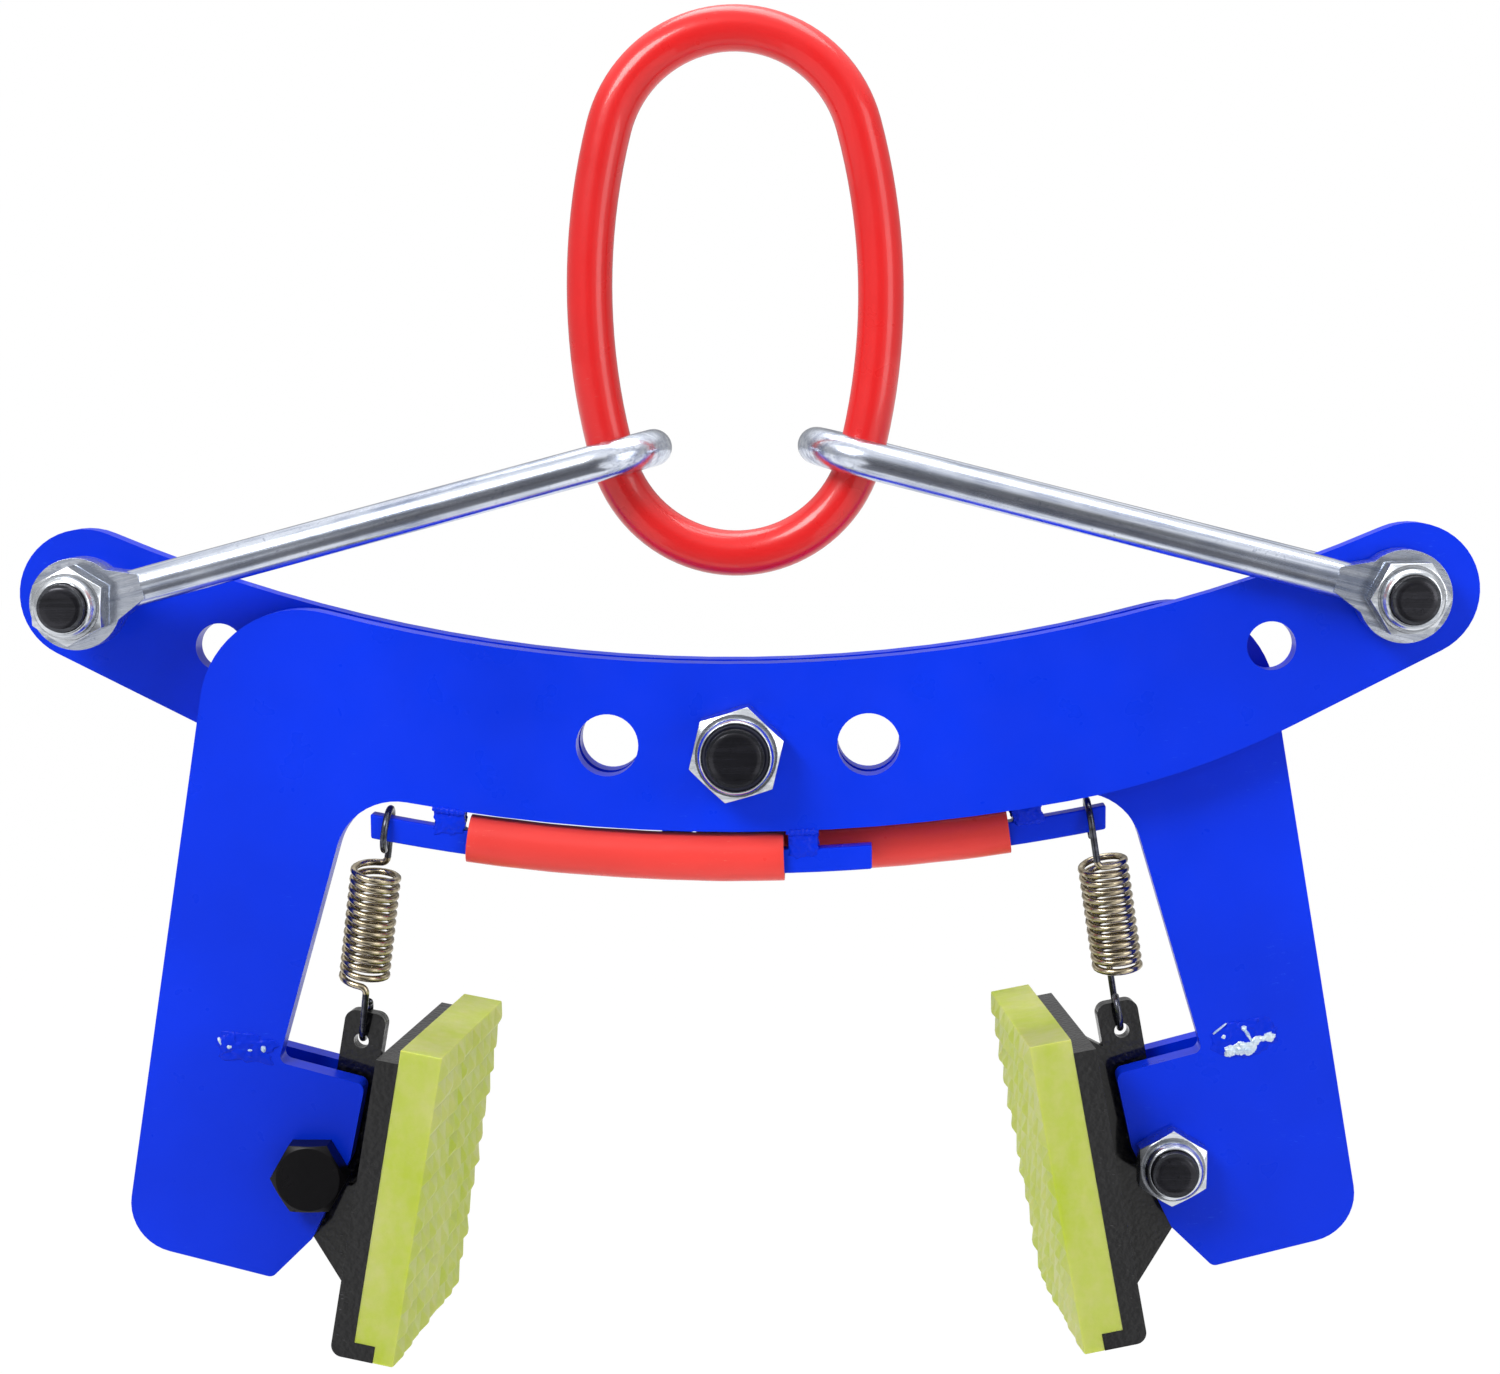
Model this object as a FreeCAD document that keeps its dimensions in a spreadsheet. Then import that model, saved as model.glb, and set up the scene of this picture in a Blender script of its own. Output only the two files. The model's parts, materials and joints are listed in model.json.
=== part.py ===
"""Scissor clamp for kerbs and slabs: master link, two U shackles, two crossed plate arms, sprung pads.

Frame: millimetres, X across the jaws, Y from front to back, Z up. The origin is the seat of the crane
hook, at the top of the master link's opening. Pieces are drawn about the centre bolt, in the pose in
which the clamp hangs open, and stand below the origin by hook_drop.
"""
import FreeCAD, Part
import math
import os
from types import SimpleNamespace

import Sketcher
from FreeCAD import Placement, Rotation, Vector

# Driving sizes in millimetres and degrees: name, value, meaning
DRIVING = [
    ("link_wire", 16.0, "master link: bar diameter"),
    ("link_end_radius", 45.0, "master link: radius of the bows, to the bar's centre"),
    ("link_half_width", 51.0, "master link: half width, to the bar's centre"),
    ("link_half_height", 91.0, "master link: half height, to the bar's centre"),
    ("shackle_slope", 14.6, "shackle: angle below level, clamp open as it hangs"),
    ("shackle_rod", 13.0, "shackle: bar diameter"),
    ("shackle_inside", 30.0, "shackle: clear width between the legs"),
    ("shackle_play", 0.3, "shackle: play between the hinged crown and the link"),
    ("open_crown_play", 1.5, "shackle: play at the crown where the linkage is opened"),
    ("eye_radius", 16.0, "shackle: outer radius of the forged eye"),
    ("eye_neck_reach", 24.0, "shackle: length over which the eye tapers into the leg"),
    ("eye_neck_flat", 9.0, "shackle: half width of the neck where it leaves the eye"),
    ("plate_thick", 10.0, "arm: plate thickness"),
    ("arm_gap", 6.0, "arm: gap between the two arms on the centre bolt"),
    ("tail_hole_x", 229.0, "arm: shackle hole, out from the centre bolt"),
    ("tail_hole_z", 54.0, "arm: shackle hole, above the centre bolt"),
    ("tail_end_out", 5.0, "arm: centre of the tail's round end, beyond the shackle hole"),
    ("tail_end_up", 1.0, "arm: centre of the tail's round end, above the shackle hole"),
    ("tail_end_radius", 23.5, "arm: radius of the tail's round end"),
    ("spare_hole_x", 186.0, "arm: second shackle hole, out from the centre bolt"),
    ("spare_hole_z", 36.0, "arm: second shackle hole, above the centre bolt"),
    ("spare_hole_radius", 8.5, "arm: radius of the second shackle hole"),
    ("range_hole_x", 46.0, "arm: range holes, out from the centre bolt"),
    ("range_hole_z", 2.0, "arm: range holes, above the centre bolt"),
    ("range_hole_radius", 11.0, "arm: radius of the range holes"),
    ("arm_top", 30.6, "arm: top edge above the centre bolt"),
    ("arm_low", 28.9, "arm: lower edge below the centre bolt"),
    ("low_arc_radius", 640.0, "arm: radius of the lower edge"),
    ("tail_edge_angle", 27.0, "arm: slope of the tail's lower edge"),
    ("tail_knee_radius", 284.0, "arm: bend between the lower edge and the tail"),
    ("shoulder_x", 191.5, "arm: leg's outer edge at the shoulder, out from the bolt"),
    ("shoulder_z", 9.0, "arm: leg's outer edge at the shoulder, above the bolt"),
    ("shoulder_radius", 36.0, "arm: round shoulder"),
    ("heel_x", 222.7, "arm: lower outer corner, out"),
    ("heel_z", 177.2, "arm: lower outer corner, down"),
    ("heel_radius", 18.0, "arm: round of the lower outer corner"),
    ("toe_x", 169.7, "arm: lowest corner, out"),
    ("toe_z", 190.9, "arm: lowest corner, down"),
    ("bevel_x", 154.8, "arm: end of the bevel under the jaw bolt, out"),
    ("bevel_z", 176.5, "arm: end of the bevel under the jaw bolt, down"),
    ("chin_x", 140.3, "arm: jaw edge beside the bolt, out"),
    ("chin_z", 147.0, "arm: jaw edge beside the bolt, down"),
    ("nose_x", 134.5, "arm: upper inner corner of the jaw, out"),
    ("nose_z", 120.0, "arm: upper inner corner of the jaw, down"),
    ("crotch_x", 165.4, "arm: notch between jaw and leg, out"),
    ("crotch_z", 111.7, "arm: notch between jaw and leg, down"),
    ("leg_inner_angle", 16.4, "arm: lean of the leg's inner edge"),
    ("armpit_radius", 22.0, "arm: round between the leg and the bar"),
    ("corner_radius", 3.0, "arm: small rounds of the jaw's corners"),
    ("jaw_hole_x", 154.0, "jaw bolt, out from the centre bolt"),
    ("jaw_hole_z", 152.0, "jaw bolt, below the centre bolt"),
    ("jaw_gap", 13.0, "jaw: gap between the arm and its rear cheek"),
    ("cheek_thick", 8.0, "jaw: thickness of the rear cheek"),
    ("block_width", 24.0, "jaw: spacer block, across the leg"),
    ("block_height", 58.0, "jaw: spacer block, along the leg"),
    ("block_inset", 5.0, "jaw: spacer block, in from the leg's outer edge"),
    ("block_drop", 8.0, "jaw: spacer block, below the cheek's top edge"),
    ("bolt_play", 0.1, "radial clearance of a shank in its bore"),
    ("pivot_shank", 20.0, "centre bolt: diameter"),
    ("pivot_flats", 30.0, "centre bolt: across flats"),
    ("pivot_head", 12.5, "centre bolt: head height"),
    ("pivot_nut", 20.0, "centre bolt: lock nut height"),
    ("pivot_washer_radius", 22.0, "spacer washer between the arms: radius"),
    ("shank", 16.0, "shackle and jaw bolts: diameter"),
    ("flats", 24.0, "shackle and jaw bolts: across flats"),
    ("head", 10.0, "shackle and jaw bolts: head height"),
    ("nut", 16.0, "shackle and jaw bolts: lock nut height"),
    ("bolt_end", 3.0, "length of bolt that stands out of a nut"),
    ("spacer_radius", 12.0, "spacers on the tail bolt: outer radius"),
    ("holder_thick", 8.0, "pad holder: back plate thickness"),
    ("holder_depth", 98.0, "pad holder: front to back"),
    ("holder_face", 33.0, "pad holder: face that carries the pad, in from the jaw bolt"),
    ("holder_top", 54.0, "pad holder: top edge above the jaw bolt"),
    ("holder_foot", 52.5, "pad holder: bottom below the jaw bolt"),
    ("lip_reach", 7.5, "pad holder: lip under the pad"),
    ("lip_thick", 6.0, "pad holder: thickness of the lip"),
    ("holder_round", 4.0, "pad holder: round of the bottom bend"),
    ("lug_thick", 6.0, "lug plate: thickness"),
    ("lug_radius", 17.0, "lug plate: round about the jaw bolt"),
    ("lug_play", 0.9, "lug plate: radial play on the jaw bolt, so that the pad lines itself up"),
    ("lug_foot", 4.5, "lug plate: width of its foot on the holder"),
    ("tab_inner", 16.3, "spring tab: inner edge, in from the jaw bolt"),
    ("tab_outer", 1.2, "spring tab: outer edge, in from the jaw bolt"),
    ("tab_top", 58.0, "spring tab: top above the jaw bolt"),
    ("tab_round", 4.0, "spring tab: rounded top corners"),
    ("tab_hole_in", 8.4, "spring tab: hole, in from the jaw bolt"),
    ("tab_hole_up", 47.2, "spring tab: hole, above the jaw bolt"),
    ("tab_hole_radius", 2.75, "spring tab: hole radius"),
    ("pad_lean", 10.1, "pad: lean of its back, lower end outwards"),
    ("pad_yaw", 5.1, "pad: turn about its upright, front edge outwards"),
    ("pad_thick", 17.0, "pad: thickness with its teeth"),
    ("pad_top", 59.0, "pad: top above the jaw bolt"),
    ("tooth_depth", 2.3, "pad: depth of the teeth"),
    ("tooth_rows", 12, "pad: rows of teeth"),
    ("tooth_columns", 8, "pad: teeth in a row"),
    ("bar_drop", 11.0, "bumper bar: centre below the arm's lower edge"),
    ("bar_height", 8.5, "bumper bar: height"),
    ("bar_thick", 8.0, "bumper bar: thickness"),
    ("bar_end_gap", 6.2, "bumper bar: gap from its outer end to the corner of the leg and the bar"),
    ("bar_inner", 47.0, "bumper bar: end past the centre bolt"),
    ("stub_outer", 97.5, "bumper bar: inner side of the stub under the leg"),
    ("stub_inner", 17.5, "bumper bar: inner side of the stub past the centre bolt"),
    ("stub_width", 10.0, "bumper bar: width of a stub"),
    ("weld_gap", 0.1, "bumper bar: root gap under the weld"),
    ("sleeve_radius", 7.7, "rubber sleeve: outer radius"),
    ("sleeve_bore", 6.2, "rubber sleeve: bore radius"),
    ("sleeve_end_gap", 1.5, "rubber sleeve: gap to each stub"),
    ("spring_wire", 2.3, "spring: wire diameter"),
    ("spring_radius", 8.0, "spring: coil radius, to the wire's centre"),
    ("spring_body", 42.0, "spring: length of the coil"),
    ("spring_bend", 2.4, "spring: bend from the coil into its end"),
    ("spring_hook_inset", 5.5, "spring: hooked on the bumper bar, in from the bar's outer end"),
    ("hook_room", 0.5, "spring: room in a hook, beyond the corners that it goes round"),
    ("hook_sweep", 250.0, "spring: angle that a hook goes round"),
    ("spring_turns", 12.5, "spring: turns"),
    ("overrun", 1.0, "length by which a cutting tool runs past the material"),
]

size = SimpleNamespace(**{name: value for name, value, meaning in DRIVING})

# Shares of the sizes that they follow, and the angles at which outlines touch a round
turned_corner_share = 0.475
turning_slope_share = 1.6
nut_wrench_share = 0.72
nut_collar_share = 0.45
neck_end_share = 1 / 3
same_place_share = 0.01
lug_shares = SimpleNamespace(tab_neck=3.0, low_angle=-138.0, back_angle=190.0, high_angle=160.0)


def cos(degrees):
    return math.cos(math.radians(degrees))


def sin(degrees):
    return math.sin(math.radians(degrees))


def tan(degrees):
    return math.tan(math.radians(degrees))


# Sizes that follow from the driving ones
# The bows of the link are circles, and a loaded shackle points at the centre of the lower bow
bow_centre_z = size.tail_hole_z + size.tail_hole_x * tan(size.shackle_slope)
shackle_reach = size.tail_hole_x / cos(size.shackle_slope) - size.link_end_radius
bow_offset = size.link_half_height - size.link_end_radius
side_gain = size.link_half_width - size.link_end_radius
link_side_radius = (bow_offset ** 2 + size.link_half_width ** 2 - size.link_end_radius ** 2) / (2 * side_gain)
link_centre_z = bow_centre_z + bow_offset
hook_drop = link_centre_z + size.link_half_height - size.link_wire / 2

arm_y = (size.arm_gap + size.plate_thick) / 2
fork_offset = (size.plate_thick + size.jaw_gap) / 2
cheek_offset = size.plate_thick / 2 + size.jaw_gap + size.cheek_thick / 2
tail_end_x = size.tail_hole_x + size.tail_end_out
tail_end_z = size.tail_hole_z + size.tail_end_up
rise = tail_end_z - size.arm_top
top_arc_radius = (tail_end_x ** 2 + rise ** 2 - size.tail_end_radius ** 2) / (2 * (size.tail_end_radius + rise))
low_arc_centre_z = size.low_arc_radius - size.arm_low
bar_arc_radius = size.low_arc_radius + size.bar_drop

# A hook is wide enough for the corners of what it holds, and the spring's pull seats it on them
strip_low = size.tab_hole_up + size.tab_hole_radius
strip_half = (size.tab_top - strip_low) / 2
hook_wall = size.spring_wire / 2 + size.hook_room
top_hook_radius = math.hypot(size.bar_thick / 2, size.bar_height / 2) + hook_wall
tab_hook_radius = math.hypot(size.lug_thick / 2, strip_half) + hook_wall


def seat_shift(radius, half_thick, half_height):
    """How far a hook moves along the spring before it rests on the corners, less the running play."""
    inner = radius - size.spring_wire / 2
    return math.sqrt(inner ** 2 - half_thick ** 2) - half_height - size.bolt_play


top_seat = seat_shift(top_hook_radius, size.bar_thick / 2, size.bar_height / 2)
tab_seat = seat_shift(tab_hook_radius, size.lug_thick / 2, strip_half)

DERIVED = [
    ("hook_drop", hook_drop, "centre bolt below the hook seat"),
    ("bow_centre_z", bow_centre_z, "centre of the link's lower bow above the centre bolt"),
    ("shackle_reach", shackle_reach, "shackle hole to the centre of the link's bar"),
    ("link_side_radius", link_side_radius, "master link: radius of the long sides"),
    ("link_centre_z", link_centre_z, "master link: centre above the centre bolt"),
    ("arm_y", arm_y, "middle of each arm plate from the clamp's middle"),
    ("fork_offset", fork_offset, "middle of the fork behind the middle of its arm"),
    ("cheek_offset", cheek_offset, "middle of the cheek behind the middle of its arm"),
    ("bar_arc_radius", bar_arc_radius, "bumper bar: radius of its arc"),
]

doc = FreeCAD.newDocument("scissor_clamp")
sheet = doc.addObject("Spreadsheet::Sheet", "Sizes")
for row, (name, value, meaning) in enumerate(DRIVING + DERIVED, start=1):
    sheet.set("A%d" % row, name)
    sheet.set("B%d" % row, repr(value))
    sheet.setAlias("B%d" % row, name)
    sheet.set("C%d" % row, meaning)
doc.recompute()

parts = []


def keep(thing, label):
    """Name the finished piece and put it on the list to write out."""
    thing.Label = label
    parts.append(thing)
    return thing


def bind(thing, **cells):
    """Tie properties to expressions in the sheet; a double underscore stands for a dot."""
    for name, formula in cells.items():
        thing.setExpression(name.replace("__", "."), formula)


# Plane geometry in the plane of the arms: points are (x, z)

def line_meets_line(p, p_direction, q, q_direction):
    cross = p_direction[0] * q_direction[1] - p_direction[1] * q_direction[0]
    along = ((q[0] - p[0]) * q_direction[1] - (q[1] - p[1]) * q_direction[0]) / cross
    return (p[0] + along * p_direction[0], p[1] + along * p_direction[1])


def line_meets_circle(p, direction, centre, radius, far):
    """Where a line from p meets a circle: its nearer crossing, or its far one."""
    length = math.hypot(*direction)
    unit = (direction[0] / length, direction[1] / length)
    to_centre = (centre[0] - p[0], centre[1] - p[1])
    middle = to_centre[0] * unit[0] + to_centre[1] * unit[1]
    aside = to_centre[0] * unit[1] - to_centre[1] * unit[0]
    half = math.sqrt(radius ** 2 - aside ** 2)
    along = middle + half if far else middle - half
    return (p[0] + along * unit[0], p[1] + along * unit[1])


def on_circle(centre, radius, angle):
    return (centre[0] + radius * cos(angle), centre[1] + radius * sin(angle))


def angle_of(centre, point):
    return math.degrees(math.atan2(point[1] - centre[1], point[0] - centre[0]))


def arc_middle(centre, radius, start, end):
    """The point halfway round the short arc from start to end."""
    first = angle_of(centre, start)
    turn = (angle_of(centre, end) - first + 180) % 360 - 180
    return on_circle(centre, radius, first + turn / 2)


# Sketches and features

def new_body(name):
    return doc.addObject("PartDesign::Body", name)


def new_sketch(body, name, role):
    plane = [feature for feature in body.Origin.OriginFeatures if feature.Role == role][0]
    sketch = body.newObject("Sketcher::SketchObject", name)
    sketch.AttachmentSupport = [(plane, "")]
    sketch.MapMode = "FlatFace"
    return sketch


def flat(point):
    return Vector(point[0], point[1], 0)


def draw_outline(sketch, path):
    """Draw a closed outline: each item is a corner, or (middle, corner) for an arc that ends there."""
    corners = [item[-1] if isinstance(item[0], tuple) else item for item in path]
    first = sketch.GeometryCount
    for index, item in enumerate(path):
        start = corners[index - 1]
        if isinstance(item[0], tuple):
            edge = Part.Arc(flat(start), flat(item[0]), flat(item[1]))
        else:
            edge = Part.LineSegment(flat(start), flat(item))
        sketch.addGeometry(edge)
    last = sketch.GeometryCount
    for index in range(first, last):
        following = index + 1 if index + 1 < last else first
        join_ends(sketch, index, following)


def join_ends(sketch, index, following):
    """Join two neighbouring edges where their ends meet."""
    best = None
    for one in (1, 2):
        for other in (1, 2):
            apart = sketch.getPoint(index, one).distanceToPoint(sketch.getPoint(following, other))
            if best is None or apart < best[0]:
                best = (apart, one, other)
    sketch.addConstraint(Sketcher.Constraint("Coincident", index, best[1], following, best[2]))


def draw_circle(sketch, centre, radius, radius_cell):
    """Draw a circle whose radius follows the sheet."""
    index = sketch.addGeometry(Part.Circle(flat(centre), Vector(0, 0, 1), radius))
    constraint = sketch.addConstraint(Sketcher.Constraint("Radius", index, radius))
    sketch.setExpression("Constraints[%d]" % constraint, radius_cell)
    return index


def pad_plate(body, name, sketch, length_cell):
    """A plate as thick as the cell says, half of it on each side of the sketch."""
    pad = body.newObject("PartDesign::Pad", name)
    pad.Profile = sketch
    pad.SideType = "Symmetric"
    pad.setExpression("Length", length_cell)
    return pad


def cut_through(body, name, sketch, length_cell):
    """Cut the sketch out of the body on both sides of its plane."""
    pocket = body.newObject("PartDesign::Pocket", name)
    pocket.Profile = sketch
    pocket.SideType = "Symmetric"
    pocket.setExpression("Length", length_cell)
    return pocket


def round_edges(body, name, feature, points, radius_cell):
    """Round the edges that stand square to the plate at the given points."""
    doc.recompute()
    names = []
    for index, edge in enumerate(feature.Shape.Edges, start=1):
        if len(edge.Vertexes) != 2:
            continue
        spots = [(vertex.Point.x, vertex.Point.z) for vertex in edge.Vertexes]
        for point in points:
            if all(math.dist(point, spot) < size.spring_wire * same_place_share for spot in spots):
                names.append("Edge%d" % index)
    fillet = body.newObject("PartDesign::Fillet", name)
    fillet.Base = (feature, names)
    fillet.setExpression("Radius", radius_cell)
    return fillet


def stand(body, turned, x_cell, y_cell, z_cell, rotation=None):
    """Stand a piece below the origin; turned pieces face the other way round the upright."""
    half_turn = Rotation(Vector(0, 0, 1), 180) if turned else Rotation()
    body.Placement = Placement(Vector(), half_turn.multiply(rotation or Rotation()))
    sign = "-" if turned else ""
    bind(body, Placement__Base__x="%s(%s)" % (sign, x_cell), Placement__Base__y=y_cell,
         Placement__Base__z="%s - Sizes.hook_drop" % z_cell)


# The arm's outline, drawn with its leg on the negative side

def arm_corners():
    """Corners of the arm's outline by name, before they are rounded."""
    top_centre = (0, size.arm_top + top_arc_radius)
    low_centre = (0, low_arc_centre_z)
    tail_centre = (tail_end_x, tail_end_z)
    shoulder = (-size.shoulder_x, size.shoulder_z)
    heel = (-size.heel_x, -size.heel_z)
    crotch = (-size.crotch_x, -size.crotch_z)
    up_leg = (shoulder[0] - heel[0], shoulder[1] - heel[1])
    up_inner = (sin(size.leg_inner_angle), cos(size.leg_inner_angle))
    tail_low = on_circle(tail_centre, size.tail_end_radius, size.tail_edge_angle - 90)
    back_along = (-cos(size.tail_edge_angle), -sin(size.tail_edge_angle))
    tail_top = on_circle(tail_centre, size.tail_end_radius, angle_of(tail_centre, top_centre))
    nose = (-size.nose_x, -size.nose_z)
    jaw_top = (crotch[0] - nose[0], crotch[1] - nose[1])
    return SimpleNamespace(
        top_centre=top_centre, low_centre=low_centre, tail_centre=tail_centre,
        shoulder=line_meets_circle(heel, up_leg, top_centre, top_arc_radius, False),
        heel=heel, crotch=crotch, nose=nose,
        toe=(-size.toe_x, -size.toe_z),
        bevel=(-size.bevel_x, -size.bevel_z),
        chin=(-size.chin_x, -size.chin_z),
        armpit=line_meets_circle(crotch, up_inner, low_centre, size.low_arc_radius, False),
        knee=line_meets_circle(tail_low, back_along, low_centre, size.low_arc_radius, True),
        tail_low=tail_low, tail_top=tail_top,
        cheek_top=line_meets_line(nose, jaw_top, heel, up_leg))


def make_arm(name, turned):
    """One arm plate: bar, tail, shoulder, leg and jaw, cut from one plate."""
    corner = arm_corners()
    tail_tip = on_circle(corner.tail_centre, size.tail_end_radius, size.tail_edge_angle)
    body = new_body(name)
    sketch = new_sketch(body, name + "_outline", "XZ_Plane")
    draw_outline(sketch, [
        corner.heel, corner.toe, corner.bevel, corner.chin, corner.nose, corner.crotch, corner.armpit,
        (arc_middle(corner.low_centre, size.low_arc_radius, corner.armpit, corner.knee), corner.knee),
        corner.tail_low,
        (tail_tip, corner.tail_top),
        (arc_middle(corner.top_centre, top_arc_radius, corner.tail_top, corner.shoulder), corner.shoulder),
    ])
    last = pad_plate(body, name + "_plate", sketch, "Sizes.plate_thick")
    rounds = [
        ("shoulder", [corner.shoulder], "Sizes.shoulder_radius"),
        ("heel", [corner.heel], "Sizes.heel_radius"),
        ("armpit", [corner.armpit], "Sizes.armpit_radius"),
        ("knee", [corner.knee], "Sizes.tail_knee_radius"),
        ("corners", [corner.toe, corner.bevel, corner.nose, corner.crotch], "Sizes.corner_radius"),
    ]
    for place, points, radius_cell in rounds:
        last = round_edges(body, "%s_%s_round" % (name, place), last, points, radius_cell)
    holes = new_sketch(body, name + "_holes", "XZ_Plane")
    draw_circle(holes, (0, 0), size.pivot_shank / 2 + size.bolt_play, "Sizes.pivot_shank / 2 + Sizes.bolt_play")
    for side in (-1, 1):
        draw_circle(holes, (side * size.range_hole_x, size.range_hole_z), size.range_hole_radius,
                    "Sizes.range_hole_radius")
    draw_circle(holes, (size.spare_hole_x, size.spare_hole_z), size.spare_hole_radius, "Sizes.spare_hole_radius")
    for spot in ((size.tail_hole_x, size.tail_hole_z), (-size.jaw_hole_x, -size.jaw_hole_z)):
        draw_circle(holes, spot, size.shank / 2 + size.bolt_play, "Sizes.shank / 2 + Sizes.bolt_play")
    cut_through(body, name + "_drilled", holes, "Sizes.plate_thick + 2 * Sizes.overrun")
    stand(body, turned, "0", "Sizes.arm_y" if turned else "-Sizes.arm_y", "0")
    return keep(body, name)


def make_cheek(name, turned):
    """The rear cheek of a jaw, with the arm's own outline below the leg."""
    corner = arm_corners()
    body = new_body(name)
    sketch = new_sketch(body, name + "_outline", "XZ_Plane")
    draw_outline(sketch, [corner.heel, corner.toe, corner.bevel, corner.chin, corner.nose, corner.cheek_top])
    last = pad_plate(body, name + "_plate", sketch, "Sizes.cheek_thick")
    last = round_edges(body, name + "_heel_round", last, [corner.heel], "Sizes.heel_radius")
    round_edges(body, name + "_corner_round", last, [corner.toe, corner.bevel, corner.nose], "Sizes.corner_radius")
    hole = new_sketch(body, name + "_hole", "XZ_Plane")
    draw_circle(hole, (-size.jaw_hole_x, -size.jaw_hole_z), size.shank / 2 + size.bolt_play,
                "Sizes.shank / 2 + Sizes.bolt_play")
    cut_through(body, name + "_drilled", hole, "Sizes.cheek_thick + 2 * Sizes.overrun")
    stand(body, turned, "0", jaw_y(turned, "cheek_offset"), "0")
    return keep(body, name)


def jaw_y(turned, offset_cell):
    """The cell formula for a piece that lies behind its own arm."""
    return "%sSizes.arm_y + Sizes.%s" % ("" if turned else "-", offset_cell)


def make_block(name, turned):
    """The block that holds the cheek off the arm, along the leg's outer edge."""
    corner = arm_corners()
    up = (corner.shoulder[0] - corner.heel[0], corner.shoulder[1] - corner.heel[1])
    length = math.hypot(*up)
    up = (up[0] / length, up[1] / length)
    inward = (up[1], -up[0])

    def spot(inset, drop):
        return (corner.cheek_top[0] + inset * inward[0] - drop * up[0],
                corner.cheek_top[1] + inset * inward[1] - drop * up[1])

    near, wide = size.block_inset, size.block_inset + size.block_width
    top, low = size.block_drop, size.block_drop + size.block_height
    body = new_body(name)
    sketch = new_sketch(body, name + "_outline", "XZ_Plane")
    draw_outline(sketch, [spot(near, top), spot(near, low), spot(wide, low), spot(wide, top)])
    pad_plate(body, name + "_plate", sketch, "Sizes.jaw_gap")
    stand(body, turned, "0", jaw_y(turned, "fork_offset"), "0")
    return keep(body, name)


def make_link():
    """The master link: round bar bent to an oval of four arcs."""
    body = new_body("master_link")
    side_shift = size.link_half_width - link_side_radius
    join = on_circle((side_shift, 0), link_side_radius, angle_of((side_shift, 0), (0, bow_offset)))
    spine = new_sketch(body, "link_path", "XZ_Plane")
    right_low, right_high = (join[0], -join[1]), join
    left_low, left_high = (-join[0], -join[1]), (-join[0], join[1])
    draw_outline(spine, [
        ((size.link_half_width, 0), right_high),
        ((0, size.link_half_height), left_high),
        ((-size.link_half_width, 0), left_low),
        ((0, -size.link_half_height), right_low),
    ])
    section = new_sketch(body, "link_section", "YZ_Plane")
    draw_circle(section, (0, size.link_half_height), size.link_wire / 2, "Sizes.link_wire / 2")
    doc.recompute()
    pipe = body.newObject("PartDesign::AdditivePipe", "link_bar")
    pipe.Profile = section
    pipe.Spine = (spine, ["Edge%d" % (index + 1) for index in range(spine.GeometryCount)])
    stand(body, False, "0", "0", "Sizes.link_centre_z")
    return keep(body, "master_link")


def make_shackle(name, turned, play_cell, play):
    """A long U shackle: a bent bar whose forged eyes take the tail bolt."""
    leg_y = (size.shackle_inside + size.shackle_rod) / 2
    crown_x = shackle_reach + size.link_wire / 2 + play + size.shackle_rod / 2
    bend_x = crown_x - leg_y
    body = new_body(name)
    path = new_sketch(body, name + "_path", "XY_Plane")
    path.addGeometry(Part.LineSegment(flat((0, -leg_y)), flat((bend_x, -leg_y))))
    path.addGeometry(Part.Arc(flat((bend_x, -leg_y)), flat((crown_x, 0)), flat((bend_x, leg_y))))
    path.addGeometry(Part.LineSegment(flat((bend_x, leg_y)), flat((0, leg_y))))
    for index in (0, 1):
        join_ends(path, index, index + 1)
    section = new_sketch(body, name + "_section", "YZ_Plane")
    draw_circle(section, (-leg_y, 0), size.shackle_rod / 2, "Sizes.shackle_rod / 2")
    doc.recompute()
    pipe = body.newObject("PartDesign::AdditivePipe", name + "_bar")
    pipe.Profile = section
    pipe.Spine = (path, ["Edge1", "Edge2", "Edge3"])
    eye = new_sketch(body, name + "_eye", "XZ_Plane")
    neck_x = math.sqrt(size.eye_radius ** 2 - size.eye_neck_flat ** 2)
    draw_outline(eye, [
        (size.eye_neck_reach, size.shackle_rod * neck_end_share),
        (neck_x, size.eye_neck_flat),
        ((-size.eye_radius, 0), (neck_x, -size.eye_neck_flat)),
        (size.eye_neck_reach, -size.shackle_rod * neck_end_share),
    ])
    pad_plate(body, name + "_eyes", eye, "Sizes.shackle_inside + 2 * Sizes.shackle_rod")
    between = new_sketch(body, name + "_between", "XY_Plane")
    half = size.shackle_inside / 2
    draw_outline(between, [
        (-size.eye_radius - size.overrun, -half), (size.eye_neck_reach + size.overrun, -half),
        (size.eye_neck_reach + size.overrun, half), (-size.eye_radius - size.overrun, half),
    ])
    cut_through(body, name + "_open", between, "2 * Sizes.eye_radius + 2 * Sizes.overrun")
    bore = new_sketch(body, name + "_bore", "XZ_Plane")
    draw_circle(bore, (0, 0), size.shank / 2 + size.bolt_play, "Sizes.shank / 2 + Sizes.bolt_play")
    cut_through(body, name + "_bored", bore, "Sizes.shackle_inside + 2 * Sizes.shackle_rod + 2 * Sizes.overrun")
    # Drawn along +X from the tail bolt: the slope lifts the crown towards the link
    stand(body, turned, "-Sizes.tail_hole_x", "0", "Sizes.tail_hole_z",
          Rotation(Vector(0, 1, 0), -size.shackle_slope))
    return keep(body, name)


# Bolts and nuts are turned parts with hexagons, drawn along Z from the face they bear on

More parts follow.
